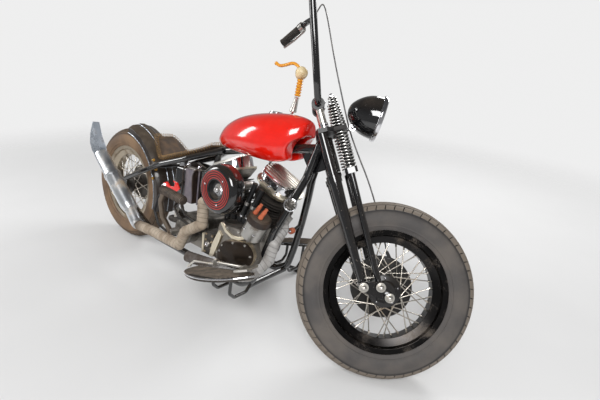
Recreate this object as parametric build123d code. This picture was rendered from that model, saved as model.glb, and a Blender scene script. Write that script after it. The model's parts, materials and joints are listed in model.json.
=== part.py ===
from build123d import *
import math
import os

# A rigid-frame chopper motorcycle with a springer fork, leaning on its side stand.
# Millimetres and degrees. The machine is drawn upright with its fork straight ahead:
# +X is forward, +Y is the rider's left, +Z is up, and the rear wheel touches down at the origin.
# Fork pieces are drawn in the fork's own frame: X ahead of the steering axis, Y left,
# Z up the steering axis from the point where it meets the ground.
# The end of the file leans, steers and centres everything as it is parked.

# Driving dimensions
WHEELBASE = 1600
TYRE_RADIUS = 322
TYRE_SECTION = 65          # half the tyre's width, and its crown's radius
RAKE = 29
TRAIL = 105
LEAN = 10                  # towards the left, on the side stand
STEER = 33                 # turned left against the steering stop
RIM_RADIUS = 220
RUNNING_GAP = 0.3          # between a pin and its bore, on the radius
RAIL_BAR = 32              # diameters of the frame's bars
STAY_BAR = 28
BACKBONE_BAR = 38
STAY_HALF = 112            # half the distance between the rear stays
RAIL_HALF = 120            # half the distance between the lower rails
RAIL_HEIGHT = 150
CRANK = (946, 250)         # x and z of the crankshaft
CYLINDER_ANGLE = 22.5      # each cylinder leans this far from upright
CHAIN_Y = 86
CHAIN_WIDTH = 14
AXLE_RADIUS = 10
NECK_LOW, NECK_HIGH = 792, 924     # along the steering axis
STEM_RADIUS = 16

REAR_AXLE = (0, 0, TYRE_RADIUS)
HEAD_X = WHEELBASE + TRAIL
SIN_RAKE, COS_RAKE = math.sin(math.radians(RAKE)), math.cos(math.radians(RAKE))
AXLE_F = TYRE_RADIUS * SIN_RAKE - TRAIL * COS_RAKE     # front axle in the fork's frame
AXLE_S = TYRE_RADIUS * COS_RAKE + TRAIL * SIN_RAKE
FORK_PLACE = Pos(HEAD_X, 0, 0) * Rot(0, -RAKE, 0)


# Helpers

def tube(points, diameter, bend=60):
    """A round bar through the points, with an arc at each inner point."""
    path = Line(*points) if len(points) == 2 else FilletPolyline(*points, radius=bend)
    start = Plane(origin=path @ 0, z_dir=path % 0)
    return sweep(start * Circle(diameter / 2), path=path)


def rod(a, b, radius):
    """A straight round bar from a to b."""
    run = Vector(*b) - Vector(*a)
    bar = Cylinder(radius, run.length, align=(Align.CENTER, Align.CENTER, Align.MIN))
    return Plane(origin=a, z_dir=run) * bar


def disc(x, z, y_from, y_to, radius):
    """A drum whose axis lies across the machine."""
    return rod((x, y_from, z), (x, y_to, z), radius)


def plate(outline, y_from, y_to):
    """An outline in x and z, thickened across the machine."""
    face = Plane.XZ * outline
    return Pos(0, y_to, 0) * extrude(face, amount=y_to - y_from)


def ring(profile, axis_y_at=(0, 0, 0)):
    """A closed profile of (radius, y) points turned about an axis across the machine."""
    return Pos(*axis_y_at) * revolve(make_face(Polyline(*profile, close=True)), axis=Axis.Y)


def both(shape):
    """A shape on the left and its mirror image on the right."""
    return [shape, mirror(shape, about=Plane.XZ)]


def group(pieces):
    """Separate solids of like pieces as one compound."""
    return Compound([solid for piece in pieces for solid in piece.solids()])


def mirrored(profile):
    """A half profile of (radius, y) and its reflection in y, as one loop."""
    return profile + [(r, -y) for r, y in reversed(profile)]


# Wheels

def tyre():
    """A hollow tyre: round crown, bead edges inside the rim's flanges."""
    wall = 11
    crown_centre = TYRE_RADIUS - TYRE_SECTION
    bead_r, bead_y = RIM_RADIUS + 1, 49
    inner = TYRE_SECTION - wall
    outline = Polyline((bead_r, bead_y - wall), (bead_r, bead_y))
    outer = ThreePointArc((bead_r, bead_y), (TYRE_RADIUS, 0), (bead_r, -bead_y))
    low = Polyline((bead_r, -bead_y), (bead_r, wall - bead_y))
    hollow = ThreePointArc((bead_r, wall - bead_y), (crown_centre + inner, 0), (bead_r, bead_y - wall))
    return revolve(make_face([outline, outer, low, hollow]), axis=Axis.Y)


def wire_wheel(hub_profile, flanges, spoke_count=40, spoke_radius=2.4):
    """A drop-centre rim, a turned hub and laced spokes. flanges: (y, radius) for left and right."""
    rim = ring(mirrored([(RIM_RADIUS, 46), (RIM_RADIUS, 42), (207, 40), (203, 31), (178, 20)])
               + mirrored([(203, 46), (199, 35), (172, 24)])[::-1])
    hub = ring(hub_profile)
    per_side = spoke_count // 2
    rim_reach, rim_y, lacing = 175, 9, 4.2
    spokes = []
    for side, (flange_y, flange_r) in zip((1, -1), flanges):
        for i in range(per_side):
            step = 360 / per_side
            hub_angle = math.radians(i * step + (step / 4) * side)
            lean = math.radians(lacing * step / 2) * (1 if i % 2 else -1)
            rim_angle = hub_angle + lean
            a = (flange_r * math.cos(hub_angle), flange_y, flange_r * math.sin(hub_angle))
            b = (rim_reach * math.cos(rim_angle), side * rim_y, rim_reach * math.sin(rim_angle))
            run = Vector(*b) - Vector(*a)
            section = Plane(origin=a, z_dir=run) * RegularPolygon(spoke_radius, 6)
            spokes.append(extrude(section, amount=run.length))
    return rim + spokes + [hub]


FRONT_HUB_BORE = AXLE_RADIUS + RUNNING_GAP
# (radius, y) from the left face to the right: brake drum, barrel, flange, star cover
FRONT_HUB = [(FRONT_HUB_BORE, 44), (112, 44), (112, 22), (40, 18), (26, 12), (26, -24), (58, -28),
             (58, -36), (40, -42), (34, -56), (FRONT_HUB_BORE, -56)]
REAR_HUB = [(FRONT_HUB_BORE, 78), (106, 78), (106, 46), (96, 40), (34, 34), (30, 20), (30, -26), (56, -30),
            (56, -38), (34, -44), (30, -62), (FRONT_HUB_BORE, -62)]


def front_wheel():
    return wire_wheel(FRONT_HUB, ((23, 108), (-31, 54)))


def rear_wheel():
    return wire_wheel(REAR_HUB, ((44, 98), (-34, 52)))


def rear_sprocket():
    """A toothed ring bolted to the brake drum's outer face, with five lightening holes."""
    teeth, tip, root, half = 48, 99, 93, 3
    points = []
    for i in range(teeth):
        for share, radius in ((-0.30, root), (-0.12, tip), (0.12, tip), (0.30, root)):
            angle = math.tau * (i + share) / teeth
            points.append((radius * math.cos(angle), radius * math.sin(angle)))
    blank = plate(make_face(Polyline(*points, close=True)), CHAIN_Y - half, CHAIN_Y + half)
    blank -= disc(0, 0, CHAIN_Y - 20, CHAIN_Y + 20, 34)
    for i in range(5):
        angle = math.tau * i / 5
        blank -= disc(64 * math.cos(angle), 64 * math.sin(angle), CHAIN_Y - 20, CHAIN_Y + 20, 14)
    web = ring([(34.5, 78), (88, 78), (88, CHAIN_Y - half), (34.5, CHAIN_Y - half)])
    return blank + web


# Frame

def frame():
    """Neck, backbone, wishbone downtubes, lower rails, seat post, rear stays and axle plates."""
    neck_mid = (NECK_LOW + NECK_HIGH) / 2
    neck = FORK_PLACE * Pos(0, 0, neck_mid) * Cylinder(27, NECK_HIGH - NECK_LOW)
    backbone = tube([(1276, 0, 774), (1000, 0, 728), (698, 0, 652)], BACKBONE_BAR, 400)
    seat_post = tube([(702, 0, 653), (682, 0, 560), (792, 0, 394), (826, 0, 150)], 30, 100)
    side = tube([(1250, 16, 790), (1218, 22, 650), (1192, 57, 550), (1158, 95, 430), (1125, 113, 280),
                 (1100, RAIL_HALF, 190), (1040, RAIL_HALF, RAIL_HEIGHT), (420, RAIL_HALF, RAIL_HEIGHT),
                 (60, STAY_HALF, 300)], RAIL_BAR)
    stay = tube([(60, STAY_HALF, 364), (417, STAY_HALF, 536), (588, 98, 597), (744, 20, 665)], STAY_BAR)
    axle_plate = plate(make_face(Polyline((-26, 300), (-26, 344), (40, 372), (120, 396), (108, 330),
                                          (110, 262), (30, 286), close=True)), 106, 116)
    axle_plate -= disc(0, TYRE_RADIUS, 100, 122, AXLE_RADIUS + RUNNING_GAP)
    gusset = plate(make_face(Polyline((1270, 790), (1150, 760), (1222, 664), (1290, 700), close=True)), -5, 5)
    board_arms = []
    for x, z in ((1000, RAIL_HEIGHT), (1096, 178)):
        under_board = board_top(x - 7) - 15
        route = [(x, RAIL_HALF, z), (x, 150, 146), (x, 216, 146), (x, 244, 172), (x, 244, under_board)]
        board_arms.append(tube(route, 14, 18))
    bars = [backbone, seat_post, gusset]
    for x in (840, 1085):
        bars.append(tube([(x, -RAIL_HALF, RAIL_HEIGHT + (12 if x > 1000 else 0)),
                          (x, RAIL_HALF, RAIL_HEIGHT + (12 if x > 1000 else 0))], 26))
    bars.append(tube([(352, -STAY_HALF, 504), (352, STAY_HALF, 504)], 18))
    for part in (side, stay, axle_plate, *board_arms):
        bars += both(part)
    bars += stand_lug()
    shape = neck + bars
    return shape - FORK_PLACE * Pos(0, 0, neck_mid) * Cylinder(STEM_RADIUS + RUNNING_GAP, 400)


def stand_lug():
    """Two ears and a pin for the side stand, on the left rail."""
    turn = Vector(*STAND_AXIS).normalized()
    pivot = Vector(*STAND_PIVOT)
    ears = [rod(tuple(pivot + turn * (end - 3)), tuple(pivot + turn * (end + 3)), 17) for end in (-17, 17)]
    pin = rod(tuple(pivot - turn * 24), tuple(pivot + turn * 24), 6)
    block = Pos(STAND_PIVOT[0], 131, RAIL_HEIGHT - 2) * Box(34, 10, 46)
    webs = [Plane(origin=pivot, x_dir=(1, 0, 0), z_dir=turn) * Pos(0, -14, end) * Box(30, 28, 6)
            for end in (-17, 17)]
    return ears + [pin, block] + webs


def rear_axle():
    """Spindle, spacers and nuts."""
    x, _, z = REAR_AXLE
    axle = disc(x, z, -134, 134, AXLE_RADIUS)
    spacers = [disc(x, z, -105.5, -68, 16), disc(x, z, 96, 105.5, 16)]
    nut = Rot(90, 0, 0) * extrude(RegularPolygon(16, 6), amount=7, both=True)
    nuts = [Pos(x, y, z) * nut for y in (-124, 124)]
    return axle + spacers + nuts


# Seat, fender, tank

def seat():
    """A thin solo seat: a pan along the stays with its back kicked up."""
    profile = make_face(Polyline((378, 548), (595, 622), (692, 674), (686, 697), (590, 646), (396, 573),
                                 (284, 660), (258, 648), close=True))
    body = plate(profile, -122, 122)
    half_plan = [(252, 60), (300, 80), (380, 104), (430, 118), (520, 116), (640, 76), (694, 42)]
    plan = make_face(Polyline(*mirrored(half_plan), close=True))
    return body & extrude(Pos(0, 0, 500) * plan, amount=300)


def rear_fender():
    """A close bobbed fender with a raised centre rib."""
    outer = [(306, 75), (337, 75), (352, 56), (359, 20), (364, 13)]
    inner = [(306, 72), (335, 72), (349, 54), (355, 18), (355, 0)]
    loop = mirrored(outer) + [(r, -y) for r, y in inner[:-1]] + [(r, y) for r, y in reversed(inner[:-1])]
    section = make_face(Polyline(*loop, close=True))
    front, tail = -12, 82
    shell = revolve(section, axis=Axis((0, 0, 0), (0, -1, 0)), revolution_arc=tail - front)
    return Pos(*REAR_AXLE) * Rot(0, -front, 0) * shell


def tank_section(x, low, high, wide):
    """A flat belly, bulging sides and a crowned top."""
    tall = high - low
    side = [(0.66 * wide, low), (wide, low + 0.42 * tall), (0.7 * wide, low + 0.85 * tall), (0, high)]
    shell = Spline(*side, *[(-y, z) for y, z in side[-2::-1]])
    across = Plane(origin=(x, 0, 0), x_dir=(0, 1, 0), z_dir=(1, 0, 0))
    return across * make_face([shell, Line(shell @ 1, shell @ 0)])


def fuel_tank():
    """A peanut tank that straddles the backbone."""
    # x, belly, crown, half width
    sections = ((716, 702, 724, 26), (770, 690, 792, 62), (880, 686, 846, 100), (1010, 685, 872, 114),
                (1110, 694, 878, 98), (1186, 778, 862, 44))
    body = loft([tank_section(*section) for section in sections])
    tunnel = plate(make_face(Polyline((690, 600), (690, 676), (1300, 838), (1300, 600), close=True)), -25, 25)
    scoop = disc(1212, 732, -150, 150, 74)
    return body - tunnel - scoop


def fuel_cap():
    x, y, z = 968, 50, 850
    cap = rod((x, y, z), (x, y, z + 22), 30) + rod((x, y, z + 22), (x, y, z + 26), 26)
    return cap - fuel_tank()


def oil_tank():
    body = Box(150, 182, 150, align=(Align.MIN, Align.CENTER, Align.MIN))
    body = fillet(body.edges().filter_by(Axis.Z), 40)
    body = fillet(body.faces().sort_by(Axis.Z)[-1].edges(), 14)
    cap = Pos(50, -62, 150) * Cylinder(22, 36)
    return Pos(478, 0, 400) * (body + cap)


def battery():
    """A tall case held by two hooked rods through a top strap."""
    x, y = 666, -112
    case = Pos(x, y, 487) * Box(60, 50, 156)
    case = fillet(case.edges().filter_by(Axis.Z), 6)
    strap = Pos(x, y, 568) * Box(88, 22, 6)
    rods = [rod((x + dx, y, 404), (x + dx, y, 582), 4) for dx in (-38, 38)]
    return case + strap + rods


def tail_lamp():
    arm = rod((-18, 124, 334), (-62, 128, 352), 7)
    lamp = rod((-58, 128, 352), (-86, 128, 352), 26)
    return arm + lamp


# Engine

def engine_part(sign, shape):
    """Turn a shape drawn on an upright cylinder's axis to the front (1) or rear (-1) cylinder."""
    return Pos(CRANK[0], 0, CRANK[1]) * Rot(0, sign * CYLINDER_ANGLE, 0) * shape


# heights along a cylinder's axis from the crankshaft
BARREL_BASE = 178
HEAD_TOP = 321
COVER_BASE = 364
# exhaust port of the front (1) and rear (-1) cylinder, in that cylinder's frame
PORTS = {1: ((45, -6, 296), (105, -14, 292)), -1: ((8, -40, 288), (6, -112, 286))}
PORT_RADIUS = 24


def crankcase():
    """Flywheel cases, cam chest and oil pump."""
    boss_reach = BARREL_BASE - 2
    x, z = CRANK
    cases = disc(x, z, -62, 62, 112)
    bosses = [engine_part(s, Pos(0, 0, boss_reach / 2) * Cylinder(54, boss_reach)) for s in (1, -1)]
    left = disc(x, z, 62, 90, 84)
    foot = Pos(x, 0, 194) * Box(196, 110, 36)
    inner_chest = plate(make_face(Polyline((885, 235), (905, 395), (1036, 406), (1090, 382), (1090, 235),
                                           close=True)), -136, -60)
    outer_chest = plate(make_face(Polyline((905, 240), (925, 395), (1036, 406), (1124, 369), (1150, 300),
                                           (1122, 245), (1040, 226), close=True)), -170, -136)
    pump = Pos(872, -140, 285) * Box(54, 64, 100)
    return cases + bosses + [left, foot, inner_chest, outer_chest, pump]


def cam_cover():
    """A black cover with bevelled edges over the cam gears."""
    outline = make_face(Polyline((946, 262), (958, 342), (1030, 366), (1110, 356), (1146, 304), (1118, 250),
                                 (1040, 238), close=True))
    cover = plate(outline, -192, -170)
    return chamfer(cover.faces().sort_by(Axis.Y)[0].edges(), 12)


def magneto():
    """An upright can on the front of the cam chest with a dark cap and two lead boots."""
    axis = (0.383, 0, 0.924)
    base = Vector(1084, -148, 389)
    run = Vector(*axis)
    can = rod(tuple(base), tuple(base + run * 75), 46)
    cap = rod(tuple(base + run * 75), tuple(base + run * 106), 49)
    boots = [rod(tuple(base + run * 104 + Vector(dx, -16, -dx * 0.4)),
                 tuple(base + run * 150 + Vector(dx + 6, -12, -dx * 0.4)), 8) for dx in (-20, 8)]
    return can + cap + boots


def cylinder_stack(sign):
    """Finned barrel and head, turned as one comb profile. The fins stop at the plane between the cylinders."""
    points = [(0, BARREL_BASE), (52, BARREL_BASE)]
    core, barrel_fin, head_fin = 52, 72, 84
    to_middle = math.tan(math.radians(CYLINDER_ANGLE))
    for low, high, fin, pitch in ((184, 276, barrel_fin, 13), (282, 314, head_fin, 12)):
        z = low
        while z < high:
            reach = min(fin, z * to_middle - 2)
            points += [(core, z), (reach, z + 2), (reach, z + 4), (core, z + 6)]
            z += pitch
    points += [(64, HEAD_TOP), (0, HEAD_TOP)]
    profile = Plane.XZ * make_face(Polyline(*points, close=True))
    stack = revolve(profile, axis=Axis.Z)
    return engine_part(sign, stack + rod(*PORTS[sign], PORT_RADIUS))


def cylinders():
    return group([cylinder_stack(1), cylinder_stack(-1)])


def crowned(half_wide, edge, crown):
    """A bar along the cover whose top is an arch across it."""
    arch = ThreePointArc((-half_wide, edge), (0, crown), (half_wide, edge))
    sides = Polyline((half_wide, edge), (half_wide, COVER_BASE), (-half_wide, COVER_BASE), (-half_wide, edge))
    return extrude(Plane.YZ * make_face([arch, sides]), amount=90, both=True)


def rocker_box(sign):
    """A cover with a crowned top and lengthwise ribs, on a tray that flares from the head."""
    lip = 9
    rim = Pos(0, 0, COVER_BASE - lip) * RectangleRounded(188, 182, 62)
    tray = loft([Pos(0, 0, HEAD_TOP + 1) * RectangleRounded(130, 120, 50), rim])
    tray += extrude(rim, amount=lip)
    cover = crowned(80, 394, 414) & extrude(Pos(0, 0, COVER_BASE) * RectangleRounded(176, 158, 62), amount=80)
    ribbed = crowned(76, 400, 420) & extrude(Pos(0, 0, COVER_BASE) * RectangleRounded(166, 148, 58), amount=80)
    ribs = [ribbed & Pos(0, y, 400) * Box(180, 6, 80) for y in range(-60, 61, 15)]
    return engine_part(sign, tray + cover + ribs)


def rocker_boxes():
    return group([rocker_box(1), rocker_box(-1)])


def pushrods():
    """Four covered pushrods on their tappet blocks."""
    pieces = []
    # foot x, head x, head z
    for foot_x, head_x, head_z in ((1008, 1069, 572), (978, 1032, 588), (940, 888, 599), (908, 867, 590)):
        foot = (foot_x, -104, 414)
        head = (head_x, -98, head_z)
        pieces.append(rod(foot, head, 11) + rod((foot_x, -104, 413), (foot_x, -104, 436), 17))
    return group(pieces)


def carburettor():
    x, z = 946, 556
    manifold = disc(x, z, -132, -32, 17)
    body = Pos(x, -160, z) * Box(64, 62, 60)
    bowl = rod((x, -160, z - 58), (x, -160, z - 30), 28)
    return manifold + body + bowl


def air_cleaner():
    """A round drum with a dished face and an open centre."""
    profile = [(0, -194), (92, -194), (97, -200), (97, -240), (94, -250), (85, -260), (78, -262), (40, -262),
               (36, -256), (36, -222), (12, -222), (12, -240), (0, -240)]
    return ring(profile, (977, 0, 563))


# Drive line

def gearbox():
    case = Pos(706, -18, 275) * Box(160, 170, 150)
    case = fillet(case.edges().filter_by(Axis.Y), 24)
    kick_cover = disc(668, 268, -150, -103, 60)
    shaft = disc(735, 300, 67, CHAIN_Y + 6, 16)
    teeth = disc(735, 300, CHAIN_Y - 3, CHAIN_Y + 3, 38)
    return case + [kick_cover, shaft, teeth]


def kick_starter():
    """A bent crank with a long rubber pedal."""
    boss = disc(632, 262, -198, -151, 17)
    crank = tube([(632, -190, 262), (600, -214, 330), (604, -232, 410), (640, -240, 466)], 16, 30)
    pedal = rod((628, -240, 470), (786, -252, 466), 17)
    return boss + crank + pedal


def primary_cover():
    """A long tin cover over the primary drive, on the left."""
    front, rear = (CRANK[0], CRANK[1] + 6, 80), (735, 300, 116)
    low_y, high_y = 97, 158
    outline = make_hull([Pos(front[0], front[1]) * e for e in Circle(front[2]).edges()]
                        + [Pos(rear[0], rear[1]) * e for e in Circle(rear[2]).edges()])
    cover = plate(outline, low_y, high_y)
    cover = fillet(cover.faces().sort_by(Axis.Y)[-1].edges(), 16)
    clutch_dome = disc(735, 300, high_y, high_y + 12, 62)
    return cover + clutch_dome


def drive_chain():
    """The final chain as one loop: every link is waisted between its pins."""
    rear_r, front_r = 107, 46
    x, z = 735, 300
    pitch = 15.9
    distance = math.hypot(x, z - TYRE_RADIUS)
    slope = math.atan2(z - TYRE_RADIUS, x)
    spread = math.asin((rear_r - front_r) / distance)
    run = distance * math.cos(spread)
    # the centre line: lengths of the straight runs and the two arcs
    rear_arc = rear_r * (math.pi + 2 * spread)
    front_arc = front_r * (math.pi - 2 * spread)
    total = 2 * run + rear_arc + front_arc
    links = round(total / pitch)

    def centre(s):
        """Point and outward normal of the loop's centre line at length s."""
        s %= total
        top = slope + math.pi / 2 - spread
        if s < run:
            n = (math.cos(top), math.sin(top))
            t = s / run
            a = (rear_r * n[0], TYRE_RADIUS + rear_r * n[1])
            b = (x + front_r * n[0], z + front_r * n[1])
            return (a[0] + (b[0] - a[0]) * t, a[1] + (b[1] - a[1]) * t), n
        s -= run
        if s < front_arc:
            angle = top - s / front_r
            n = (math.cos(angle), math.sin(angle))
            return (x + front_r * n[0], z + front_r * n[1]), n
        s -= front_arc
        low = slope - math.pi / 2 + spread
        if s < run:
            n = (math.cos(low), math.sin(low))
            t = s / run
            a = (x + front_r * n[0], z + front_r * n[1])
            b = (rear_r * n[0], TYRE_RADIUS + rear_r * n[1])
            return (a[0] + (b[0] - a[0]) * t, a[1] + (b[1] - a[1]) * t), n
        s -= run
        angle = low - s / rear_r
        n = (math.cos(angle), math.sin(angle))
        return (rear_r * n[0], TYRE_RADIUS + rear_r * n[1]), n

    outer, inner = [], []
    for i in range(2 * links):
        half = 7 if i % 2 else 4
        (px, pz), n = centre(total * i / (2 * links))
        outer.append((px + half * n[0], pz + half * n[1]))
        inner.append((px - half * n[0], pz - half * n[1]))
    face = make_face(Polyline(*outer, close=True)) - make_face(Polyline(*inner, close=True))
    return plate(face, CHAIN_Y - CHAIN_WIDTH / 2, CHAIN_Y + CHAIN_WIDTH / 2)


# Exhaust

PIPE = 48


def front_exhaust():
    """The front cylinder's wrapped pipe, round the downtube and under the floorboard."""
    pipe = tube([(1156.6, -14.3, 478.7), (1180, -17.8, 467.1), (1186, -44, 428), (1192, -84, 366),
                 (1190, -124, 308), (1174, -152, 256), (1138, -176, 210), (1090, -188, 190), (960, -198, 186),
                 (780, -202, 198)], PIPE, 34)
    return pipe - rear_exhaust()


def rear_exhaust():
    """The rear cylinder's wrapped pipe, running down and back into the muffler."""
    return tube([(842, -112.3, 516.4), (841.3, -172, 514.4), (858, -206, 466), (820, -206, 383),
                 (786, -204, 296), (740, -202, 198), (528, -206, 204), (412, -214, 228)], PIPE, 34)


def muffler():
    """An upswept straight muffler with a clamp step and a fishtail."""
    y = -215
    start, aim = Vector(334, y, 287), Vector(-0.802, 0, 0.597)
    # (radius, distance along the axis): inlet cone, body, clamp, tail
    profile = [(0, 0), (31, 0), (38, 30), (38, 212), (41, 214), (41, 230), (37, 232), (34, 372), (0, 372)]
    body = Plane(origin=start, x_dir=(0, 1, 0), z_dir=aim) * revolve(
        Plane.XZ * make_face(Polyline(*profile, close=True)), axis=Axis.Z)
    inlet = tube([(406, -214.4, 229.5), (388, y, 236), tuple(start + aim * 20)], 54, 40)
    tail = make_face(Polyline((22, 482), (58, 529), (50, 548), (8, 600), (-24, 668), (-50, 600), (-52, 552),
                              (-30, 516), close=True))
    fish = plate(tail, y - 17, y + 17)
    return body + inlet + fish


# Controls and fittings on the chassis

BOARD_MIDDLE, BOARD_HEIGHT, BOARD_TILT = 1048, 255, 17


def board_top(x):
    """Height of a board's top where it slopes up to the front."""
    return BOARD_HEIGHT + (x - BOARD_MIDDLE) * math.tan(math.radians(BOARD_TILT))


def floorboards():
    """Half-moon boards, raised at the front."""
    def board(side):
        flat = Polyline((-150, side * 228), (150, side * 228), (172, side * 252))
        curve = ThreePointArc((172, side * 252), (20, side * 345), (-140, side * 318))
        end = ThreePointArc((-140, side * 318), (-174, side * 270), (-150, side * 228))
        shape = extrude(make_face([flat, curve, end]), amount=-14)
        return Pos(BOARD_MIDDLE, 0, BOARD_HEIGHT) * Rot(0, -BOARD_TILT, 0) * shape
    return group([board(1), board(-1)])


def brake_pedal():
    """A polished foot plate, its arm along the board and the rod to the brake."""
    pad = Pos(1178, -262, 320) * Rot(0, -26, 0) * Box(70, 58, 8)
    arm = tube([(975, -216, 252), (1110, -216, 287), (1160, -236, 311)], 12, 60)
    pivot = disc(975, 252, -222, -207, 13) + disc(968, 238, -222, -207, 6)
    rod_back = tube([(968, -214, 238), (870, -238, 222), (830, -238, 180), (800, -200, 158), (762, -144, 160)],
                    9, 22)
    return arm + [pad, pivot, rod_back]


def hand_shift():
    """A hand shift on the left of the tank, with turned rings, an egg knob and a curved handle."""
    y = 134
    lever = rod((836, y, 446), (981, y, 884), 7)
    bracket = tube([(836, 128, 446), (800, 72, 444), (784, 52, 356)], 16, 20)
    base = loft([Plane(origin=(981, y, 882), z_dir=(39, 0, 57)) * Circle(8),
                 Plane(origin=(1020, y, 939), z_dir=(39, 0, 57)) * Circle(15)])
    grip = rod((1020, y, 938), (988, y, 1019), 13)
    knob = Pos(1004, y, 1046) * Sphere(27)
    handle = tube([(1004, y, 1052), (960, y, 1090), (910, y, 1082), (862, y, 1092)], 14, 30)
    pivot = disc(836, 446, 122, 142, 14)
    return lever + [bracket, base, grip, knob, handle, pivot]


def horn():
    """A small round horn on the right downtube."""
    face = Vector(1216, -100, 552)
    lookout = Vector(0.35, -0.9, 0.1).normalized()
    return rod(tuple(face - lookout * 22), tuple(face), 24) + rod(tuple(face), tuple(face + lookout * 5), 12)


# Side stand, drawn in the machine's frame as it is parked

STAND_PIVOT = (960, 156, RAIL_HEIGHT - 6)
STAND_FOOT = (1038, 334)              # x and y: its height comes from the floor
FOOT_THICK = 8
STAND_AXIS = (0.097, 0.425, 0.9)      # it folds back about this, from the front stop


def stand_foot():
    """The foot's centre, so that its sole lies on the floor once the machine leans."""
    x, y = STAND_FOOT
    height_at_zero = world_of((x, y, 0), PITCH)[2] - FLOOR
    return (x, y, (FOOT_THICK / 2 - height_at_zero) / math.cos(math.radians(LEAN)))


def side_stand():
    """A bent leg on a pivot eye, with a flat foot."""
    turn = Vector(*STAND_AXIS).normalized()
    pivot = Vector(*STAND_PIVOT)
    x, y, z = stand_foot()
    eye = rod(tuple(pivot - turn * 13), tuple(pivot + turn * 13), 15)
    leg = tube([STAND_PIVOT, (992, 232, 114), (x, y - 2, z + 8)], 18, 80)
    foot = Pos(x, y, z) * Rot(LEAN, 0, 0) * Box(60, 34, FOOT_THICK)
    return eye + leg + foot - rod(tuple(pivot - turn * 30), tuple(pivot + turn * 30), 6 + RUNNING_GAP)


# Fork, drawn in the fork's frame

LEG_F, FRONT_LEG_F, LEG_Y = -9.5, 46, 90
SPRING_F, SPRING_Y = 60, 48


def rigid_fork():
    """The rear legs, tapered below the lower yoke, the yoke and the stem."""
    legs = []
    low = Plane(origin=(LEG_F, LEG_Y, 386))
    taper = loft([low * Circle(13), low.offset(370) * Circle(24)])
    upper = Pos(LEG_F, LEG_Y, 0) * rod((0, 0, 750), (0, 0, 948), 16)
    collar = Pos(LEG_F, LEG_Y, 0) * rod((0, 0, 752), (0, 0, 776), 27)
    eye = disc(LEG_F, 386, LEG_Y - 12, LEG_Y + 12, 17)
    legs += both(taper + upper + collar + eye)
    yoke = Pos(-4, 0, 768) * Box(40, 2 * LEG_Y, 18)
    stem = rod((0, 0, 760), (0, 0, 948), STEM_RADIUS)
    race = rod((0, 0, 776), (0, 0, 790), 27)
    return yoke + legs + [stem, race]


def top_clamp():
    """The upper clamp: it ties the rear legs, the stem and the spring perches."""
    outline = make_face(Polyline((-30, 70), (-30, -70), (-22, -112), (10, -112), (36, -76), (84, -66), (84, 66),
                                 (36, 76), (10, 112), (-22, 112), close=True))
    body = extrude(Pos(0, 0, 930) * outline, amount=16)
    holes = [Pos(LEG_F, y, 938) * Cylinder(16.05, 40) for y in (-LEG_Y, LEG_Y)]
    holes += [Pos(0, 0, 938) * Cylinder(STEM_RADIUS + 0.05, 40)]
    holes += [Pos(SPRING_F, y, 938) * Cylinder(6.3, 40) for y in (-SPRING_Y, SPRING_Y)]
    risers = [rod((7, y, 946), (7, y, 1030), 14) for y in (-40, 40)]
    bar_clamps = [disc(7, 1048, y - 14, y + 14, 24) for y in (-40, 40)]
    crown_nut = rod((0, 0, 946), (0, 0, 962), 20)
    shape = body - holes
    bore = disc(7, 1048, -80, 80, 12.6)
    return shape + [r + c - bore for r, c in zip(risers, bar_clamps)] + crown_nut - Pos(0, 0, 938) * Cylinder(
        STEM_RADIUS + 0.05, 22)


def spring_fork():
    """The thin front legs and the yoke that the lower springs stand on."""
    leg = rod((FRONT_LEG_F, LEG_Y, 372), (FRONT_LEG_F + 8, LEG_Y, 770), 11)
    eye = disc(FRONT_LEG_F, 372, LEG_Y - 11, LEG_Y + 11, 15)
    yoke = Pos(FRONT_LEG_F + 10, 0, 780) * Box(44, 2 * LEG_Y + 26, 20)
    yoke = fillet(yoke.edges().filter_by(Axis.Z), 10)
    rods = [rod((SPRING_F, y, 788), (SPRING_F, y, 1068), 6) for y in (-SPRING_Y, SPRING_Y)]
    return yoke + both(leg + eye) + rods


def rockers():
    """Links that join each pair of legs to the axle, with their pivot bolts."""
    eyes = ((LEG_F, 386, 17), (FRONT_LEG_F, 372, 16), (AXLE_F, AXLE_S, 18))
    outline = make_hull([Pos(f, s) * e for f, s, r in eyes for e in Circle(r).edges()])
    link = plate(outline, 107, 116)
    link -= disc(AXLE_F, AXLE_S, 100, 120, AXLE_RADIUS + 0.05)
    bolts = [disc(f, s, 116, 126, 11) for f, s in ((LEG_F, 386), (FRONT_LEG_F, 372))]
    return group(both(link + bolts))


def coil_stack(low, high, radius_low, radius_high, turns, wire):
    """A coil spring's outline, turned as one ridged solid."""
    points = [(7, low)]
    for i in range(turns):
        a = low + (high - low) * i / turns
        pitch = (high - low) / turns
        r = radius_low + (radius_high - radius_low) * (i + 0.5) / turns
        points += [(r - wire * 0.6, a), (r, a + pitch * 0.3), (r, a + pitch * 0.7)]
    points += [(radius_high - wire * 0.6, high), (7, high)]
    return revolve(Plane.XZ * make_face(Polyline(*points, close=True)), axis=Axis.Z)


def fork_springs():
    """Two lower load springs and two short, tapered rebound springs above the clamp."""
    pieces = []
    for y in (-SPRING_Y, SPRING_Y):
        lower = coil_stack(791, 929, 24, 24, 9, 8)
        upper = coil_stack(947, 1056, 23, 15, 8, 7)
        pieces += [Pos(SPRING_F, y, 0) * lower, Pos(SPRING_F, y, 0) * upper]
    return group(pieces)


BAR_POINTS = [(7, 0, 1048), (7, 74, 1048), (18, 120, 1104), (68, 190, 1346), (100, 250, 1511), (76, 290, 1525)]
GRIP_END = (-55, 372, 1503)
BAR = 25


def handlebar():
    """High bars: up and out from the clamps, then swept back to the grips."""
    left = BAR_POINTS + [GRIP_END]
    right = [(f, -y, s) for f, y, s in left[:0:-1]]
    return tube(right + left[1:], BAR, 32)


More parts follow.
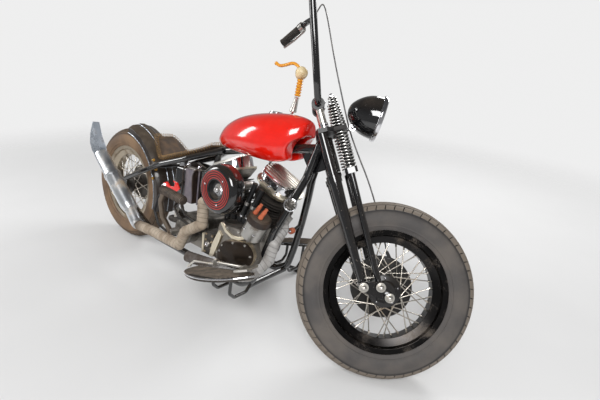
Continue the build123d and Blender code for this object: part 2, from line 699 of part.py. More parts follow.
def grips():
    """Rubber sleeves over the bar's ends."""
    a, b = Vector(*BAR_POINTS[-1]), Vector(*GRIP_END)
    run = (b - a).normalized()
    sleeve = rod(tuple(a + run * 48), tuple(b + run * 3), 17) - rod(tuple(a), tuple(b), BAR / 2 + 0.05)
    return group(both(sleeve))


def hand_levers():
    """Perch, blade and round end on each bar."""
    a, b = Vector(*BAR_POINTS[-1]), Vector(*GRIP_END)
    run = (b - a).normalized()
    ahead = Vector(0.55, 0.75, 0.1).normalized()
    perch = rod(tuple(a + run * 24), tuple(a + run * 44), 19)
    perch -= rod(tuple(a - run * 40), tuple(b), BAR / 2 + 0.05)
    start = a + run * 34 + ahead * 14
    # (ahead, along the grip) from the perch
    reaches = ((0, 0), (34, 10), (40, 90), (30, 150))
    blade = tube([tuple(start + ahead * out + run * along) for out, along in reaches], 12, 18)
    return group(both(perch + blade))


LAMP_BACK = (113, 0, 1010)


def headlight():
    """A deep bullet shell on a bracket from the top clamp."""
    aim = Rot(0, RAKE + 4.5, 0)
    profile = [(0, 0)]
    outer = make_face([Spline((0, 0), (42, 20), (72, 66), (80, 112), tangents=((1, 0.1), (0.12, 1))),
                       Polyline((80, 112), (76, 112), (76, 108), (0, 108), (0, 0))])
    shell = revolve(Plane.XZ * outer, axis=Axis.Z)
    bezel = Polyline((74, 112.5), (84, 112.5), (87, 120), (85, 128), (78, 130), (74, 126), close=True)
    rim = revolve(Plane.XZ * make_face(bezel), axis=Axis.Z)
    shell = Pos(*LAMP_BACK) * aim * Rot(0, 90, 0) * shell
    rim = Pos(*LAMP_BACK) * aim * Rot(0, 90, 0) * rim
    stem = tube([(85, 0, 938), (110, 0, 938), (136, 0, 956)], 14, 20)
    return shell, rim, stem


def headlight_shell():
    shell, _, stem = headlight()
    return shell + stem


def headlight_glass():
    aim = Rot(0, RAKE + 4.5, 0)
    edge_r, edge_z, crown = 73.5, 122, 12
    bulge = (edge_r ** 2 + crown ** 2) / (2 * crown)
    spread = math.degrees(math.asin(edge_r / bulge))
    arc = CenterArc((0, edge_z + crown - bulge), bulge, 90 - spread, spread)
    sides = Polyline((0, edge_z + crown), (0, 113), (edge_r, 113), (edge_r, edge_z))
    lens = revolve(Plane.XZ * make_face([arc, sides]), axis=Axis.Z)
    return Pos(*LAMP_BACK) * aim * Rot(0, 90, 0) * lens


def headlight_rim():
    return headlight()[1]


def front_axle():
    """Spindle between the rockers with spacers and domed nuts."""
    axle = disc(AXLE_F, AXLE_S, -122, 122, AXLE_RADIUS)
    spacers = [disc(AXLE_F, AXLE_S, -106.5, -62, 15), disc(AXLE_F, AXLE_S, 62, 106.5, 15)]
    nuts = [disc(AXLE_F, AXLE_S, -130, -117, 15), disc(AXLE_F, AXLE_S, 117, 130, 15)]
    return axle + spacers + nuts


def front_brake_plate():
    """The drum's fixed backing plate, its cam arm and the stay to the left leg."""
    shell = ring([(AXLE_RADIUS + 0.05, 50), (40, 50), (116, 50), (116, 56), (40, 61), (AXLE_RADIUS + 0.05, 61)],
                 (AXLE_F, 0, AXLE_S))
    arm = Polyline((60, 60), (74, 60), (64, 120), (52, 120), close=True)
    return shell + Pos(AXLE_F, 0, AXLE_S) * plate(make_face(arm), 55, 63)


def front_brake_cable():
    """From the left lever's perch in a loose bow, down beside the springs to the brake arm."""
    return tube([(65.1, 315.2, 1523.3), (102.9, 291.5, 1529.6), (136, 258, 1548), (160, 200, 1546),
                 (150, 130, 1440), (124, 84, 1240), (110, 76, 1010), (108, 75, 907), (137, 75, 655),
                 (AXLE_F + 60, 72, AXLE_S + 112)], 6, 30)


# Parking: lean, steer, level the wheels and centre the footprint

def world_of(point, pitch=0):
    """A point of the upright machine after the lean and the pitch."""
    x, y, z = point
    a, b = math.radians(LEAN), math.radians(pitch)
    y, z = y * math.cos(a) + z * math.sin(a), z * math.cos(a) - y * math.sin(a)
    return (x * math.cos(b) + z * math.sin(b), y, z * math.cos(b) - x * math.sin(b))


def steered(f, y, s):
    """A point of the fork's frame, steered, in the upright machine's frame."""
    a = math.radians(STEER)
    f, y = f * math.cos(a) - y * math.sin(a), f * math.sin(a) + y * math.cos(a)
    return (HEAD_X + f * COS_RAKE - s * SIN_RAKE, y, f * SIN_RAKE + s * COS_RAKE)


def lowest(centre, end, pitch):
    """Height of a tyre's lowest point from its centre and a point one along its axis."""
    c, e = world_of(centre, pitch), world_of(end, pitch)
    tilt = e[2] - c[2]
    crown_centre = TYRE_RADIUS - TYRE_SECTION
    return c[2] - crown_centre * math.sqrt(1 - tilt * tilt) - TYRE_SECTION


def level_pitch():
    """The small nose-down pitch that puts both tyres on the floor."""
    pitch = 0
    for _ in range(5):
        rear = lowest(REAR_AXLE, (0, 1, TYRE_RADIUS), pitch)
        front = lowest(steered(AXLE_F, 0, AXLE_S), steered(AXLE_F, 1, AXLE_S), pitch)
        pitch += math.degrees((front - rear) / WHEELBASE)
    return pitch, lowest(REAR_AXLE, (0, 1, TYRE_RADIUS), pitch)


PITCH, FLOOR = level_pitch()
MACHINE_PLACE = Rot(0, PITCH, 0) * Rot(-LEAN, 0, 0)
STEERED_FORK = FORK_PLACE * Rot(0, 0, STEER)

HERE = Pos(0, 0, 0)
FRONT_WHEEL_PLACE = STEERED_FORK * Pos(AXLE_F, 0, AXLE_S)
REAR_WHEEL_PLACE = Pos(*REAR_AXLE)
# node: the function that draws it
ON_CHASSIS = {
    "frame": frame, "seat": seat, "rear_fender": rear_fender, "fuel_tank": fuel_tank, "fuel_cap": fuel_cap,
    "oil_tank": oil_tank, "battery": battery, "tail_lamp": tail_lamp, "crankcase": crankcase,
    "cam_cover": cam_cover, "magneto": magneto, "cylinders": cylinders, "rocker_boxes": rocker_boxes,
    "pushrods": pushrods, "carburettor": carburettor, "air_cleaner": air_cleaner, "gearbox": gearbox,
    "kick_starter": kick_starter, "primary_cover": primary_cover, "drive_chain": drive_chain,
    "front_exhaust": front_exhaust, "rear_exhaust": rear_exhaust, "muffler": muffler,
    "floorboards": floorboards, "brake_pedal": brake_pedal, "hand_shift": hand_shift, "horn": horn,
    "rear_axle": rear_axle, "side_stand": side_stand,
}
ON_FORK = {
    "rigid_fork": rigid_fork, "top_clamp": top_clamp, "spring_fork": spring_fork, "rockers": rockers,
    "fork_springs": fork_springs, "handlebar": handlebar, "grips": grips, "hand_levers": hand_levers,
    "headlight": headlight_shell, "headlight_rim": headlight_rim, "headlight_glass": headlight_glass,
    "front_axle": front_axle, "front_brake_plate": front_brake_plate, "front_brake_cable": front_brake_cable,
}
PIECES = {name: (make, HERE) for name, make in ON_CHASSIS.items()}
PIECES |= {name: (make, STEERED_FORK) for name, make in ON_FORK.items()}
PIECES["front_tyre"] = (tyre, FRONT_WHEEL_PLACE)
PIECES["front_wheel"] = (front_wheel, FRONT_WHEEL_PLACE)
PIECES["rear_tyre"] = (tyre, REAR_WHEEL_PLACE)
PIECES["rear_wheel"] = (rear_wheel, REAR_WHEEL_PLACE)
PIECES["rear_sprocket"] = (rear_sprocket, REAR_WHEEL_PLACE)


def parked():
    """Every node in its parked place, and the shift that centres the whole on the floor."""
    shapes = {name: MACHINE_PLACE * place * make() for name, (make, place) in PIECES.items()}
    boxes = [shape.bounding_box() for shape in shapes.values()]
    middle = [(min(getattr(b.min, c) for b in boxes) + max(getattr(b.max, c) for b in boxes)) / 2 for c in "XY"]
    shift = Pos(-middle[0], -middle[1], -FLOOR)
    return {name: shift * shape for name, shape in shapes.items()}, shift


def main():
    os.makedirs("parts", exist_ok=True)
    shapes, _ = parked()
    for name, shape in shapes.items():
        export_step(shape, f"parts/{name}.step")


main()
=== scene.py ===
# %% [markdown]
# # A chopper on its side stand
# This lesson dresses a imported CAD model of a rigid-frame chopper. The CAD gives every main form and every
# moving body. Each step below looks at one real piece, says how it could be made, and then makes it.

# %% The fixed frame
import json
import math

import bmesh
import bpy
from mathutils import Matrix, Vector


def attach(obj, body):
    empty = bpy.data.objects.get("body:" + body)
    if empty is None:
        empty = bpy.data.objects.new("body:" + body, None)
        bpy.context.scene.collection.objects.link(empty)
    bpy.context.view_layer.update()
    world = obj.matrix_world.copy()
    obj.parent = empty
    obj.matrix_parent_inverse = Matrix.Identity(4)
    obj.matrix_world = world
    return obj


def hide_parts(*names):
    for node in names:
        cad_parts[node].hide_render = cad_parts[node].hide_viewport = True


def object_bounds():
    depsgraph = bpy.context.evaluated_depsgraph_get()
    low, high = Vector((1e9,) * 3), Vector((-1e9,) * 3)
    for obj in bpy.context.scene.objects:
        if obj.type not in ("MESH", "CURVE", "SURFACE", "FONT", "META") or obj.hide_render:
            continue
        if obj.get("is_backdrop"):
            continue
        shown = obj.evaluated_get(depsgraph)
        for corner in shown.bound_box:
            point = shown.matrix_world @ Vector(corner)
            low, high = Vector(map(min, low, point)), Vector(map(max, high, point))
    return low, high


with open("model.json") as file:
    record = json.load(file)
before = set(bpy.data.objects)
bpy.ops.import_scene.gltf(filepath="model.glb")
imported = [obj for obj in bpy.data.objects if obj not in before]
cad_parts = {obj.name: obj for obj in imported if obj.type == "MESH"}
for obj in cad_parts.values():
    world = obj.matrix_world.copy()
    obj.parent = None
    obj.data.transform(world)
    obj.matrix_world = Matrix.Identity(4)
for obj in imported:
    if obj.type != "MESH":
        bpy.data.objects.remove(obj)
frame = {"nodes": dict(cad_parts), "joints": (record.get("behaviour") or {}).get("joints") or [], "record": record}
cad_box = [list(corner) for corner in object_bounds()]
scene = bpy.context.scene
body_of = {node: body for body, nodes in frame["record"]["behaviour"]["bodies"].items() for node in nodes}

# %% [markdown]
# ## Where things are
# The machine is easiest to think of upright, with its fork straight ahead: X forward, Y to the rider's
# left, Z up, in millimetres from the point where the rear tyre touches down. The real one leans on its
# stand with its bars turned. So every piece is drawn upright and then moved by one matrix for its body.
# The matrix's offset comes from the rear wheel's joint, so it always agrees with the CAD. On the fork a
# place is (f, y, s): ahead of the steering axis, to the left, and up along the axis. Each wheel has its
# own axle as its y axis.

# %% Matrices from the upright machine to the parked one
# in degrees: the lean to the left, the nose's small dip, the turn of the bars and the rake of the head
LEAN, PITCH, STEER, RAKE = 10, 0.24946, 33, 29
TYRE_RADIUS, WHEELBASE, TRAIL = 322, 1600, 105
HEAD_X = WHEELBASE + TRAIL
AXLE_F = TYRE_RADIUS * math.sin(math.radians(RAKE)) - TRAIL * math.cos(math.radians(RAKE))
AXLE_S = TYRE_RADIUS * math.cos(math.radians(RAKE)) + TRAIL * math.sin(math.radians(RAKE))
RIGHT, LEFT, UP = (0, -1, 0), (0, 1, 0), (0, 0, 1)


def turned(degrees, axis):
    return Matrix.Rotation(math.radians(degrees), 4, axis)


def moved(x, y, z):
    return Matrix.Translation((x, y, z))


joints = {joint["name"]: Vector(joint["pos_m"]) for joint in frame["joints"]}
METRES = Matrix.Scale(0.001, 4)
LEVELLED = turned(PITCH, "Y")
PARKED = LEVELLED @ turned(-LEAN, "X")
SHIFT = Matrix.Translation(joints["rear_wheel_spin"] - METRES @ PARKED @ Vector((0, 0, TYRE_RADIUS)))
MACHINE = SHIFT @ METRES @ PARKED
FORK = MACHINE @ moved(HEAD_X, 0, 0) @ turned(-RAKE, "Y") @ turned(STEER, "Z")
FRONT_WHEEL = FORK @ moved(AXLE_F, 0, AXLE_S)
REAR_WHEEL = MACHINE @ moved(0, 0, TYRE_RADIUS)
IN_PLACE = Matrix.Identity(4)
miss = (FRONT_WHEEL.translation - joints["front_wheel_spin"]).length
print("front axle is off its joint by", round(miss * 1000, 2), "mm")

# %% [markdown]
# ## The camera
# The photograph was taken from the front right with a wide lens, standing close. A wide lens makes the
# front wheel look much larger than the rear one, so the distance matters as much as the direction.

# %% Camera
CAMERA_AT = Vector((1939.945, -969.017, 1096.689))
CAMERA_YAW, CAMERA_DIP, CAMERA_ROLL = -35.14, -23.03, 3.29
FOCAL_PIXELS, PICTURE_WIDTH, SENSOR_WIDTH = 349.891, 600, 36

yaw, dip = math.radians(CAMERA_YAW), math.radians(CAMERA_DIP)
view_ahead = Vector((math.sin(yaw) * math.cos(dip), math.cos(yaw) * math.cos(dip), math.sin(dip)))
view_right = Vector((math.cos(yaw), -math.sin(yaw), 0))
axes = Matrix((view_right, view_right.cross(view_ahead), -view_ahead)).transposed().to_4x4()
camera = bpy.data.objects.new("camera", bpy.data.cameras.new("camera"))
camera.data.sensor_width = SENSOR_WIDTH
camera.data.lens = FOCAL_PIXELS * SENSOR_WIDTH / PICTURE_WIDTH
camera.matrix_world = (SHIFT @ LEVELLED @ Matrix.Translation(CAMERA_AT / 1000) @ axes
                       @ turned(CAMERA_ROLL, "Z"))
scene.collection.objects.link(camera)
scene.camera = camera
print("lens", round(camera.data.lens, 2), "mm")

# %% [markdown]
# ## Nodes from Python
# Both materials and Geometry Nodes are graphs of nodes. One small class wraps an output socket, so that a
# sum or a product of two signals reads as arithmetic. One method makes every node: its type, its settings,
# then the values or links of its sockets.

# %% Signals: maths on sockets


class Signal:
    """One output of a node. Python's operators on it add Math nodes to its graph."""

    def __init__(self, graph, socket):
        self.graph = graph
        self.socket = socket

    def other(self, name):
        return Signal(self.graph, self.socket.node.outputs[name])

    def math(self, operation, *values):
        return self.graph.node("ShaderNodeMath", {"operation": operation}, dict(enumerate(values)))

    def __add__(self, other):
        return self.math("ADD", self, other)

    def __sub__(self, other):
        return self.math("SUBTRACT", self, other)

    def __rsub__(self, other):
        return self.math("SUBTRACT", other, self)

    def __mul__(self, other):
        return self.math("MULTIPLY", self, other)

    def __truediv__(self, other):
        return self.math("DIVIDE", self, other)

    def __rtruediv__(self, other):
        return self.math("DIVIDE", other, self)

    def __gt__(self, other):
        return self.math("GREATER_THAN", self, other)

    def __lt__(self, other):
        return self.math("LESS_THAN", self, other)

    def fraction(self):
        return self.math("FRACT", self)

    def unsigned(self):
        return self.math("ABSOLUTE", self)

    def or_more(self, other):
        return self.math("MAXIMUM", self, other)

    __radd__ = __add__
    __rmul__ = __mul__


# %% Graphs: one way to make a node


class Graph:
    """A node tree, and the one way its nodes are made."""

    def __init__(self, tree):
        self.tree = tree

    def put(self, socket, value):
        if isinstance(value, Signal):
            self.tree.links.new(value.socket, socket)
        else:
            socket.default_value = value

    def node(self, kind, settings=None, values=None, output=0):
        made = self.tree.nodes.new(kind)
        for name, value in (settings or {}).items():
            setattr(made, name, value)
        for name, value in (values or {}).items():
            self.put(made.inputs[name], value)
        return Signal(self, made.outputs[output])

    def mix(self, share, a, b):
        """Colour a where share is 0, and b where it is 1."""
        return self.node("ShaderNodeMix", {"data_type": "RGBA"}, {0: share, 6: a, 7: b}, output=2)


trial = Graph(bpy.data.node_groups.new("trial", "ShaderNodeTree"))
trial_sum = trial.node("ShaderNodeValue") * 0.5 + 1
print("a value, halved and raised by one, is", len(trial_sum.graph.tree.nodes), "nodes")
bpy.data.node_groups.remove(trial.tree)

# %% [markdown]
# ## Finishes
# A finish starts from the shader's constants, such as the gloss of paint. What changes over the surface,
# such as dust, stains and chips, is noise in the object's own coordinates, so it keeps its real size in
# metres.

# %% Colours as the screen shows them


def tint(red, green, blue):
    """A colour as it is seen on the screen, 0 to 255, in the linear values that shaders take."""
    shares = [value / 255 for value in (red, green, blue)]
    return tuple(s / 12.92 if s < 0.04045 else ((s + 0.055) / 1.055) ** 2.4 for s in shares) + (1,)


def darker(colour, share):
    return tuple(part * share for part in colour[:3]) + (1,)


DUST = tint(146, 130, 110)
print("dust is", [round(part, 3) for part in DUST])

# %% The finish class


class Finish(Graph):
    """A material built on the principled shader."""

    def __init__(self, name, **constants):
        self.material = bpy.data.materials.new(name)
        self.material.use_nodes = True
        super().__init__(self.material.node_tree)
        self.shader = self.tree.nodes["Principled BSDF"]
        self.feed(**constants)

    def feed(self, **values):
        for name, value in values.items():
            self.put(self.shader.inputs[name], value)

    def place(self, stretch=(1, 1, 1)):
        where = self.node("ShaderNodeTexCoord", output="Object")
        return self.node("ShaderNodeMapping", values={"Vector": where, "Scale": stretch})

    def noise(self, scale, detail=3, stretch=(1, 1, 1)):
        values = {"Vector": self.place(stretch), "Scale": scale, "Detail": detail}
        return self.node("ShaderNodeTexNoise", values=values)

    def cells(self, scale):
        return self.node("ShaderNodeTexVoronoi", values={"Vector": self.place(), "Scale": scale})

    def written(self, name):
        """A number that a piece has written on each of its points."""
        return self.node("ShaderNodeAttribute", {"attribute_name": name}, output="Fac")

    def step(self, signal, low, high):
        """0 where the signal is below low, 1 above high, and smooth between."""
        values = {"Value": signal, "From Min": low, "From Max": high}
        return self.node("ShaderNodeMapRange", {"interpolation_type": "SMOOTHSTEP"}, values)

    def upward(self):
        """1 where the surface faces the sky, 0 where it is upright or faces down."""
        normal = self.node("ShaderNodeNewGeometry", output="Normal")
        height = self.node("ShaderNodeSeparateXYZ", values={"Vector": normal}, output="Z")
        return self.step(height, 0.2, 1)

    def relief(self, height, depth):
        """height, from 0 to 1, raises the surface by up to depth millimetres."""
        values = {"Height": height, "Distance": depth / 1000, "Strength": 1}
        self.feed(Normal=self.node("ShaderNodeBump", values=values))


# %% [markdown]
# ### Paint
# The tank is gloss red and the frame gloss black under a clear coat. Old enamel is never perfect: it has a
# faint orange-peel ripple, dust where it faces up, and chips along tubes that hands and boots have rubbed.
# A chip is where fine noise is high, so its share only moves the threshold.

# %% Paints
PATCH_SCALE, CHIP_SCALE, PEEL_SCALE, PEEL_DEPTH = 38, 170, 420, 0.03
CHIP_FROM, CHIP_EDGE, CHIP_REACH = 0.72, 0.02, 0.12


def paint(name, colour, roughness, chip, chip_share, dust_share, coat=1):
    finish = Finish(name, Roughness=roughness, **{"Coat Weight": coat, "Coat Roughness": 0.04})
    patches = finish.noise(PATCH_SCALE, 4)
    chip_from = CHIP_FROM - chip_share * CHIP_REACH
    chips = finish.step(finish.noise(CHIP_SCALE, 4), chip_from, chip_from + CHIP_EDGE)
    chips = chips * finish.step(patches, 0.5, 0.6)
    dust = finish.upward() * finish.noise(24, 6) * dust_share
    shaded = finish.mix(finish.step(patches, 0.3, 0.7), colour, darker(colour, 0.93))
    shaded = finish.mix(chips, shaded, chip)
    finish.feed(**{"Base Color": finish.mix(dust, shaded, DUST),
                   "Roughness": roughness + dust * 0.7 + chips * 0.4,
                   "Coat Weight": (1 - chips) * coat})
    finish.relief(finish.noise(PEEL_SCALE, 2) + chips * -2, PEEL_DEPTH)
    return finish.material


# name, colour, roughness, colour under a chip, share of chips, share of dust
red_paint = paint("red_paint", tint(228, 26, 12), 0.16, tint(60, 10, 8), 0.1, 0.12)
black_enamel = paint("black_enamel", tint(16, 16, 18), 0.1, tint(120, 108, 98), 0.45, 0.2)
fender_paint = paint("fender_paint", tint(40, 31, 25), 0.3, tint(120, 104, 88), 0.4, 0.45, coat=0.3)
black_gloss = paint("black_gloss", tint(17, 17, 19), 0.1, tint(70, 66, 62), 0.1, 0.15)
black_satin = paint("black_satin", tint(28, 28, 30), 0.42, tint(100, 94, 88), 0.3, 0.25, coat=0)
print("with the paints there are", len(bpy.data.materials), "materials")

# %% [markdown]
# ### Bare metal
# Chrome is almost a mirror with smudges. Cast alloy is dull, grainy and stained brown by heat and oil.
# Both are one recipe: a metal whose colour and roughness are pulled towards grime by two sizes of noise.

# %% Metals
CLOUD_SCALE, GRIME_GLOSS_LOSS, GRIME_METAL_LOSS = 14, 0.45, 0.8


def metal(name, colour, roughness, grime, grime_share, grain, grain_depth):
    finish = Finish(name, Metallic=1, Roughness=roughness)
    cloud = finish.noise(CLOUD_SCALE, 6)
    speck = finish.noise(grain, 3)
    dirty = finish.step(cloud + speck * 0.35, 0.78 - grime_share * 0.3, 0.98 - grime_share * 0.2)
    dusty = finish.upward() * finish.step(cloud, 0.3, 0.7) * grime_share
    share = dirty * 0.85 * (1 - dusty) + dusty
    finish.feed(**{"Base Color": finish.mix(share, colour, grime),
                   "Metallic": 1 - share * GRIME_METAL_LOSS,
                   "Roughness": roughness + share * GRIME_GLOSS_LOSS + speck * roughness * 0.3})
    finish.relief(speck, grain_depth)
    return finish.material


# name, colour, roughness, colour of the grime, its share, scale of the grain, its depth in millimetres
chrome = metal("chrome", tint(225, 225, 228), 0.06, tint(128, 116, 100), 0.1, 260, 0.01)
steel = metal("steel", tint(188, 186, 182), 0.28, tint(92, 76, 60), 0.3, 340, 0.04)
satin_steel = metal("satin_steel", tint(226, 222, 214), 0.28, tint(186, 172, 150), 0.05, 240, 0.01)
cast_alloy = metal("cast_alloy", tint(150, 145, 138), 0.34, tint(46, 40, 34), 0.55, 520, 0.12)
worn_alloy = metal("worn_alloy", tint(176, 162, 140), 0.34, tint(110, 92, 70), 0.3, 400, 0.05)
muffler_steel = metal("muffler_steel", tint(226, 230, 234), 0.28, tint(176, 150, 112), 0.3, 240, 0.02)
tray_alloy = metal("tray_alloy", tint(232, 222, 200), 0.3, tint(170, 148, 112), 0.12, 400, 0.03)
dark_cover = metal("dark_cover", tint(62, 53, 46), 0.26, tint(34, 28, 23), 0.35, 420, 0.08)
brass = metal("brass", tint(214, 172, 96), 0.25, tint(120, 88, 48), 0.3, 300, 0.02)
blue_steel = metal("blue_steel", tint(186, 194, 204), 0.24, tint(90, 84, 80), 0.15, 300, 0.02)
dark_iron = metal("dark_iron", tint(96, 92, 88), 0.4, tint(40, 33, 27), 0.6, 420, 0.08)
worn_iron = metal("worn_iron", tint(128, 116, 104), 0.38, tint(64, 52, 42), 0.45, 420, 0.06)
print("with the metals there are", len(bpy.data.materials), "materials")

# %% [markdown]
# ### Leather, rubber and plastic
# None of these is a metal. Leather has pores, creases and pale scuffs, and rubber and plastic have a finer
# grain. Two tints in soft clouds, dust from above and a fine cell pattern pressed in as relief give all
# three.

# %% Leather, rubber and plastic


def soft(name, colour, second, roughness, cloud_scale, grain, depth, dust_share=0.2):
    finish = Finish(name, Roughness=roughness)
    cloud = finish.step(finish.noise(cloud_scale, 6), 0.35, 0.7)
    pores = finish.cells(grain)
    dust = finish.upward() * finish.noise(30, 5) * dust_share
    shaded = finish.mix(cloud, colour, second)
    finish.feed(**{"Base Color": finish.mix(dust, shaded, DUST), "Roughness": roughness + cloud * 0.1})
    finish.relief(pores + cloud * 0.6, depth)
    return finish.material


# name, two tints, roughness, scale of the clouds, scale of the grain, its depth, share of dust
leather = soft("brown_leather", tint(54, 40, 29), tint(88, 67, 48), 0.64, 26, 620, 0.35, 0.12)
thong = soft("gold_thong", tint(118, 90, 56), tint(168, 134, 84), 0.6, 90, 900, 0.2, 0.1)
rubber = soft("rubber", tint(30, 29, 28), tint(52, 48, 44), 0.7, 40, 700, 0.12, 0.5)
board_rubber = soft("board_rubber", tint(58, 52, 47), tint(96, 86, 76), 0.7, 30, 500, 0.2, 0.5)
brown_rubber = soft("brown_rubber", tint(56, 48, 42), tint(92, 80, 70), 0.6, 40, 600, 0.15, 0.4)
grey_plastic = soft("grey_plastic", tint(92, 86, 96), tint(120, 112, 116), 0.5, 20, 800, 0.06, 0.35)
dark_plastic = soft("dark_plastic", tint(34, 26, 22), tint(58, 44, 36), 0.42, 30, 800, 0.05, 0.4)
orange_rubber = soft("orange_rubber", tint(176, 84, 52), tint(200, 110, 74), 0.6, 60, 900, 0.08, 0.2)
cream = soft("cream", tint(226, 208, 166), tint(196, 166, 112), 0.35, 40, 900, 0.03, 0.05)
grey_hose = soft("grey_hose", tint(78, 78, 80), tint(120, 118, 116), 0.35, 50, 900, 0.04, 0.2)
print("with the soft finishes there are", len(bpy.data.materials), "materials")

# %% [markdown]
# ### Heat tape
# The exhausts are wrapped in woven tape. Its weave follows the pipe, so it reads the pipe's own UV map:
# one direction round the pipe and one along it, in metres. The far end of each pipe is painted dark brown,
# partly for dirt and partly as painted shade where it runs in shadow. It could be an image of a weave, but a
# brick pattern laid out by the map gives the threads at any length of pipe.

# %% Heat tape
TAPE_PITCH, TAPE_SHADOW, TAPE_DIRT_AND_SHADE = 19, tint(62, 54, 48), tint(62, 48, 38)
THREADS_AROUND, THREADS_A_METRE, DARK_END_EDGE = 90, 300, 0.12


def tape(name, colour, second, dark_from):
    """Cross threads, laps and fraying, with painted shade under each lap and between the threads. The last
    argument is the metres along the pipe from which dirt and painted shade turn it dark brown.
    """
    finish = Finish(name, Roughness=0.9)
    around = finish.node("ShaderNodeUVMap", {"uv_map": "along"})
    weave = finish.node("ShaderNodeMapping",
                        values={"Vector": around, "Scale": (THREADS_AROUND, THREADS_A_METRE, 1)})
    threads = finish.node("ShaderNodeTexBrick", {"offset": 0.5},
                          {"Vector": weave, "Scale": 1, "Mortar Size": 0.12, "Mortar Smooth": 0.6}, "Fac")
    cloud = finish.step(finish.noise(20, 6), 0.35, 0.68)
    turns = finish.node("ShaderNodeSeparateXYZ", values={"Vector": around})
    metres = turns.other("Y")
    lap = (metres * 1000 / TAPE_PITCH + turns).fraction()
    shaded = finish.mix(cloud, colour, second)
    # painted shade: a dark band where each lap steps over the last, and darker gaps between the threads
    shaded = finish.mix(finish.step(lap, 0.72, 0.96) * 0.75, shaded, TAPE_SHADOW)
    shaded = finish.mix(threads * 0.6, shaded, darker(colour, 0.6))
    # past that length the pipe turns dark brown: partly dirt, partly painted shade where it runs in shadow
    dirt_and_shade = finish.step(metres, dark_from, dark_from + DARK_END_EDGE) * (0.8 + cloud * 0.15)
    finish.feed(**{"Base Color": finish.mix(dirt_and_shade, shaded, TAPE_DIRT_AND_SHADE)})
    finish.relief(finish.noise(600, 3) - threads, 0.5)
    return finish.material


grey_wrap = tape("grey_wrap", tint(212, 210, 208), tint(150, 142, 134), dark_from=0.42)
tan_wrap = tape("tan_wrap", tint(208, 192, 172), tint(142, 120, 98), dark_from=0.62)
print("a lap of tape every", TAPE_PITCH, "mm")

# %% [markdown]
# ### Amber resin and lens glass
# The shift handle is cast resin: light goes a little way in and comes out warm, which is what the shader's
# subsurface does. The headlight's glass is pressed with upright flutes. They are a wave used as relief.

# %% Amber resin and lens glass
FLUTE_SCALE, FLUTE_DEPTH = 55, 0.5


def amber_resin():
    finish = Finish("amber", Roughness=0.18, IOR=1.5, **{
        "Coat Weight": 0.6, "Subsurface Weight": 0.2, "Subsurface Radius": (0.01, 0.004, 0.001)})
    finish.feed(**{"Base Color": finish.mix(finish.noise(50, 4), tint(214, 132, 26), tint(236, 176, 66))})
    finish.relief(finish.noise(300, 2), 0.03)
    return finish.material


def fluted_glass():
    finish = Finish("lens", Roughness=0.02, IOR=1.45, **{
        "Transmission Weight": 1, "Base Color": (1, 1, 1, 1)})
    flutes = finish.node("ShaderNodeTexWave", {"bands_direction": "Y"},
                         {"Vector": finish.place(), "Scale": FLUTE_SCALE, "Distortion": 0})
    finish.relief(flutes, FLUTE_DEPTH)
    return finish.material


amber, lens_glass = amber_resin(), fluted_glass()
print("resin and glass:", amber.name, lens_glass.name)

# %% [markdown]
# ## The studio
# A plain pale floor that fades into the background, an even pale world, and three soft boxes. The boxes
# are large, because a chopper is mostly gloss paint and chrome, and those show the shape of the lights.

# %% Floor
FLOOR_RADIUS, FADE_FROM, FADE_TO = 14, 1.7, 4.6
FLOOR_GREY, FLOOR_PALE = (0.68, 0.68, 0.68, 1), (0.71, 0.71, 0.71, 1)

bpy.ops.mesh.primitive_circle_add(vertices=96, radius=FLOOR_RADIUS, fill_type="NGON")
floor = bpy.context.object
floor.name = "studio_floor"
ground = Finish("studio_floor", Roughness=0.9, **{"Specular IOR Level": 0.1})
distance = ground.node("ShaderNodeVectorMath", {"operation": "LENGTH"}, {0: ground.place()}, "Value")
ground.feed(**{"Base Color": ground.mix(ground.noise(3, 3), FLOOR_GREY, FLOOR_PALE)})
faded = ground.node("ShaderNodeMixShader", values={
    0: ground.step(distance, FADE_FROM, FADE_TO),
    1: Signal(ground, ground.shader.outputs[0]),
    2: ground.node("ShaderNodeBsdfTransparent")})
ground.put(ground.tree.nodes["Material Output"].inputs["Surface"], faded)
floor.data.materials.append(ground.material)
floor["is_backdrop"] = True
print("the floor fades out between", FADE_FROM, "and", FADE_TO, "m")

# %% World: even light for the surfaces, a pale backdrop for camera, gloss and glass
EVEN_LIGHT, BLACK = (0.5, 0.5, 0.5, 1), (0, 0, 0, 1)
HORIZON, OVERHEAD = (0.86, 0.86, 0.86, 1), (0.16, 0.16, 0.17, 1)
GLOSS_SHADE, SKY_FROM, SKY_TO = 0.68, 0.12, 0.75

world = bpy.data.worlds.new("studio")
world.use_nodes = True
scene.world = world
sky = Graph(world.node_tree)
seen_by_camera = sky.node("ShaderNodeLightPath", output="Is Camera Ray")
seen_in_gloss = seen_by_camera.other("Is Glossy Ray")
seen_in_glass = seen_by_camera.other("Is Transmission Ray")
seen = seen_by_camera.or_more(seen_in_gloss).or_more(seen_in_glass)
direction = sky.node("ShaderNodeTexCoord", output="Generated")
sky_height = sky.node("ShaderNodeSeparateXYZ", values={"Vector": direction}, output="Z")
overhead = sky.node("ShaderNodeMapRange",
                    values={"Value": sky_height, "From Min": SKY_FROM, "From Max": SKY_TO})
backdrop = sky.mix(seen_in_gloss * GLOSS_SHADE, sky.mix(overhead, HORIZON, OVERHEAD), BLACK)
sky.put(world.node_tree.nodes["Background"].inputs["Color"], sky.mix(seen, EVEN_LIGHT, backdrop))
print("the world has", len(world.node_tree.nodes), "nodes")

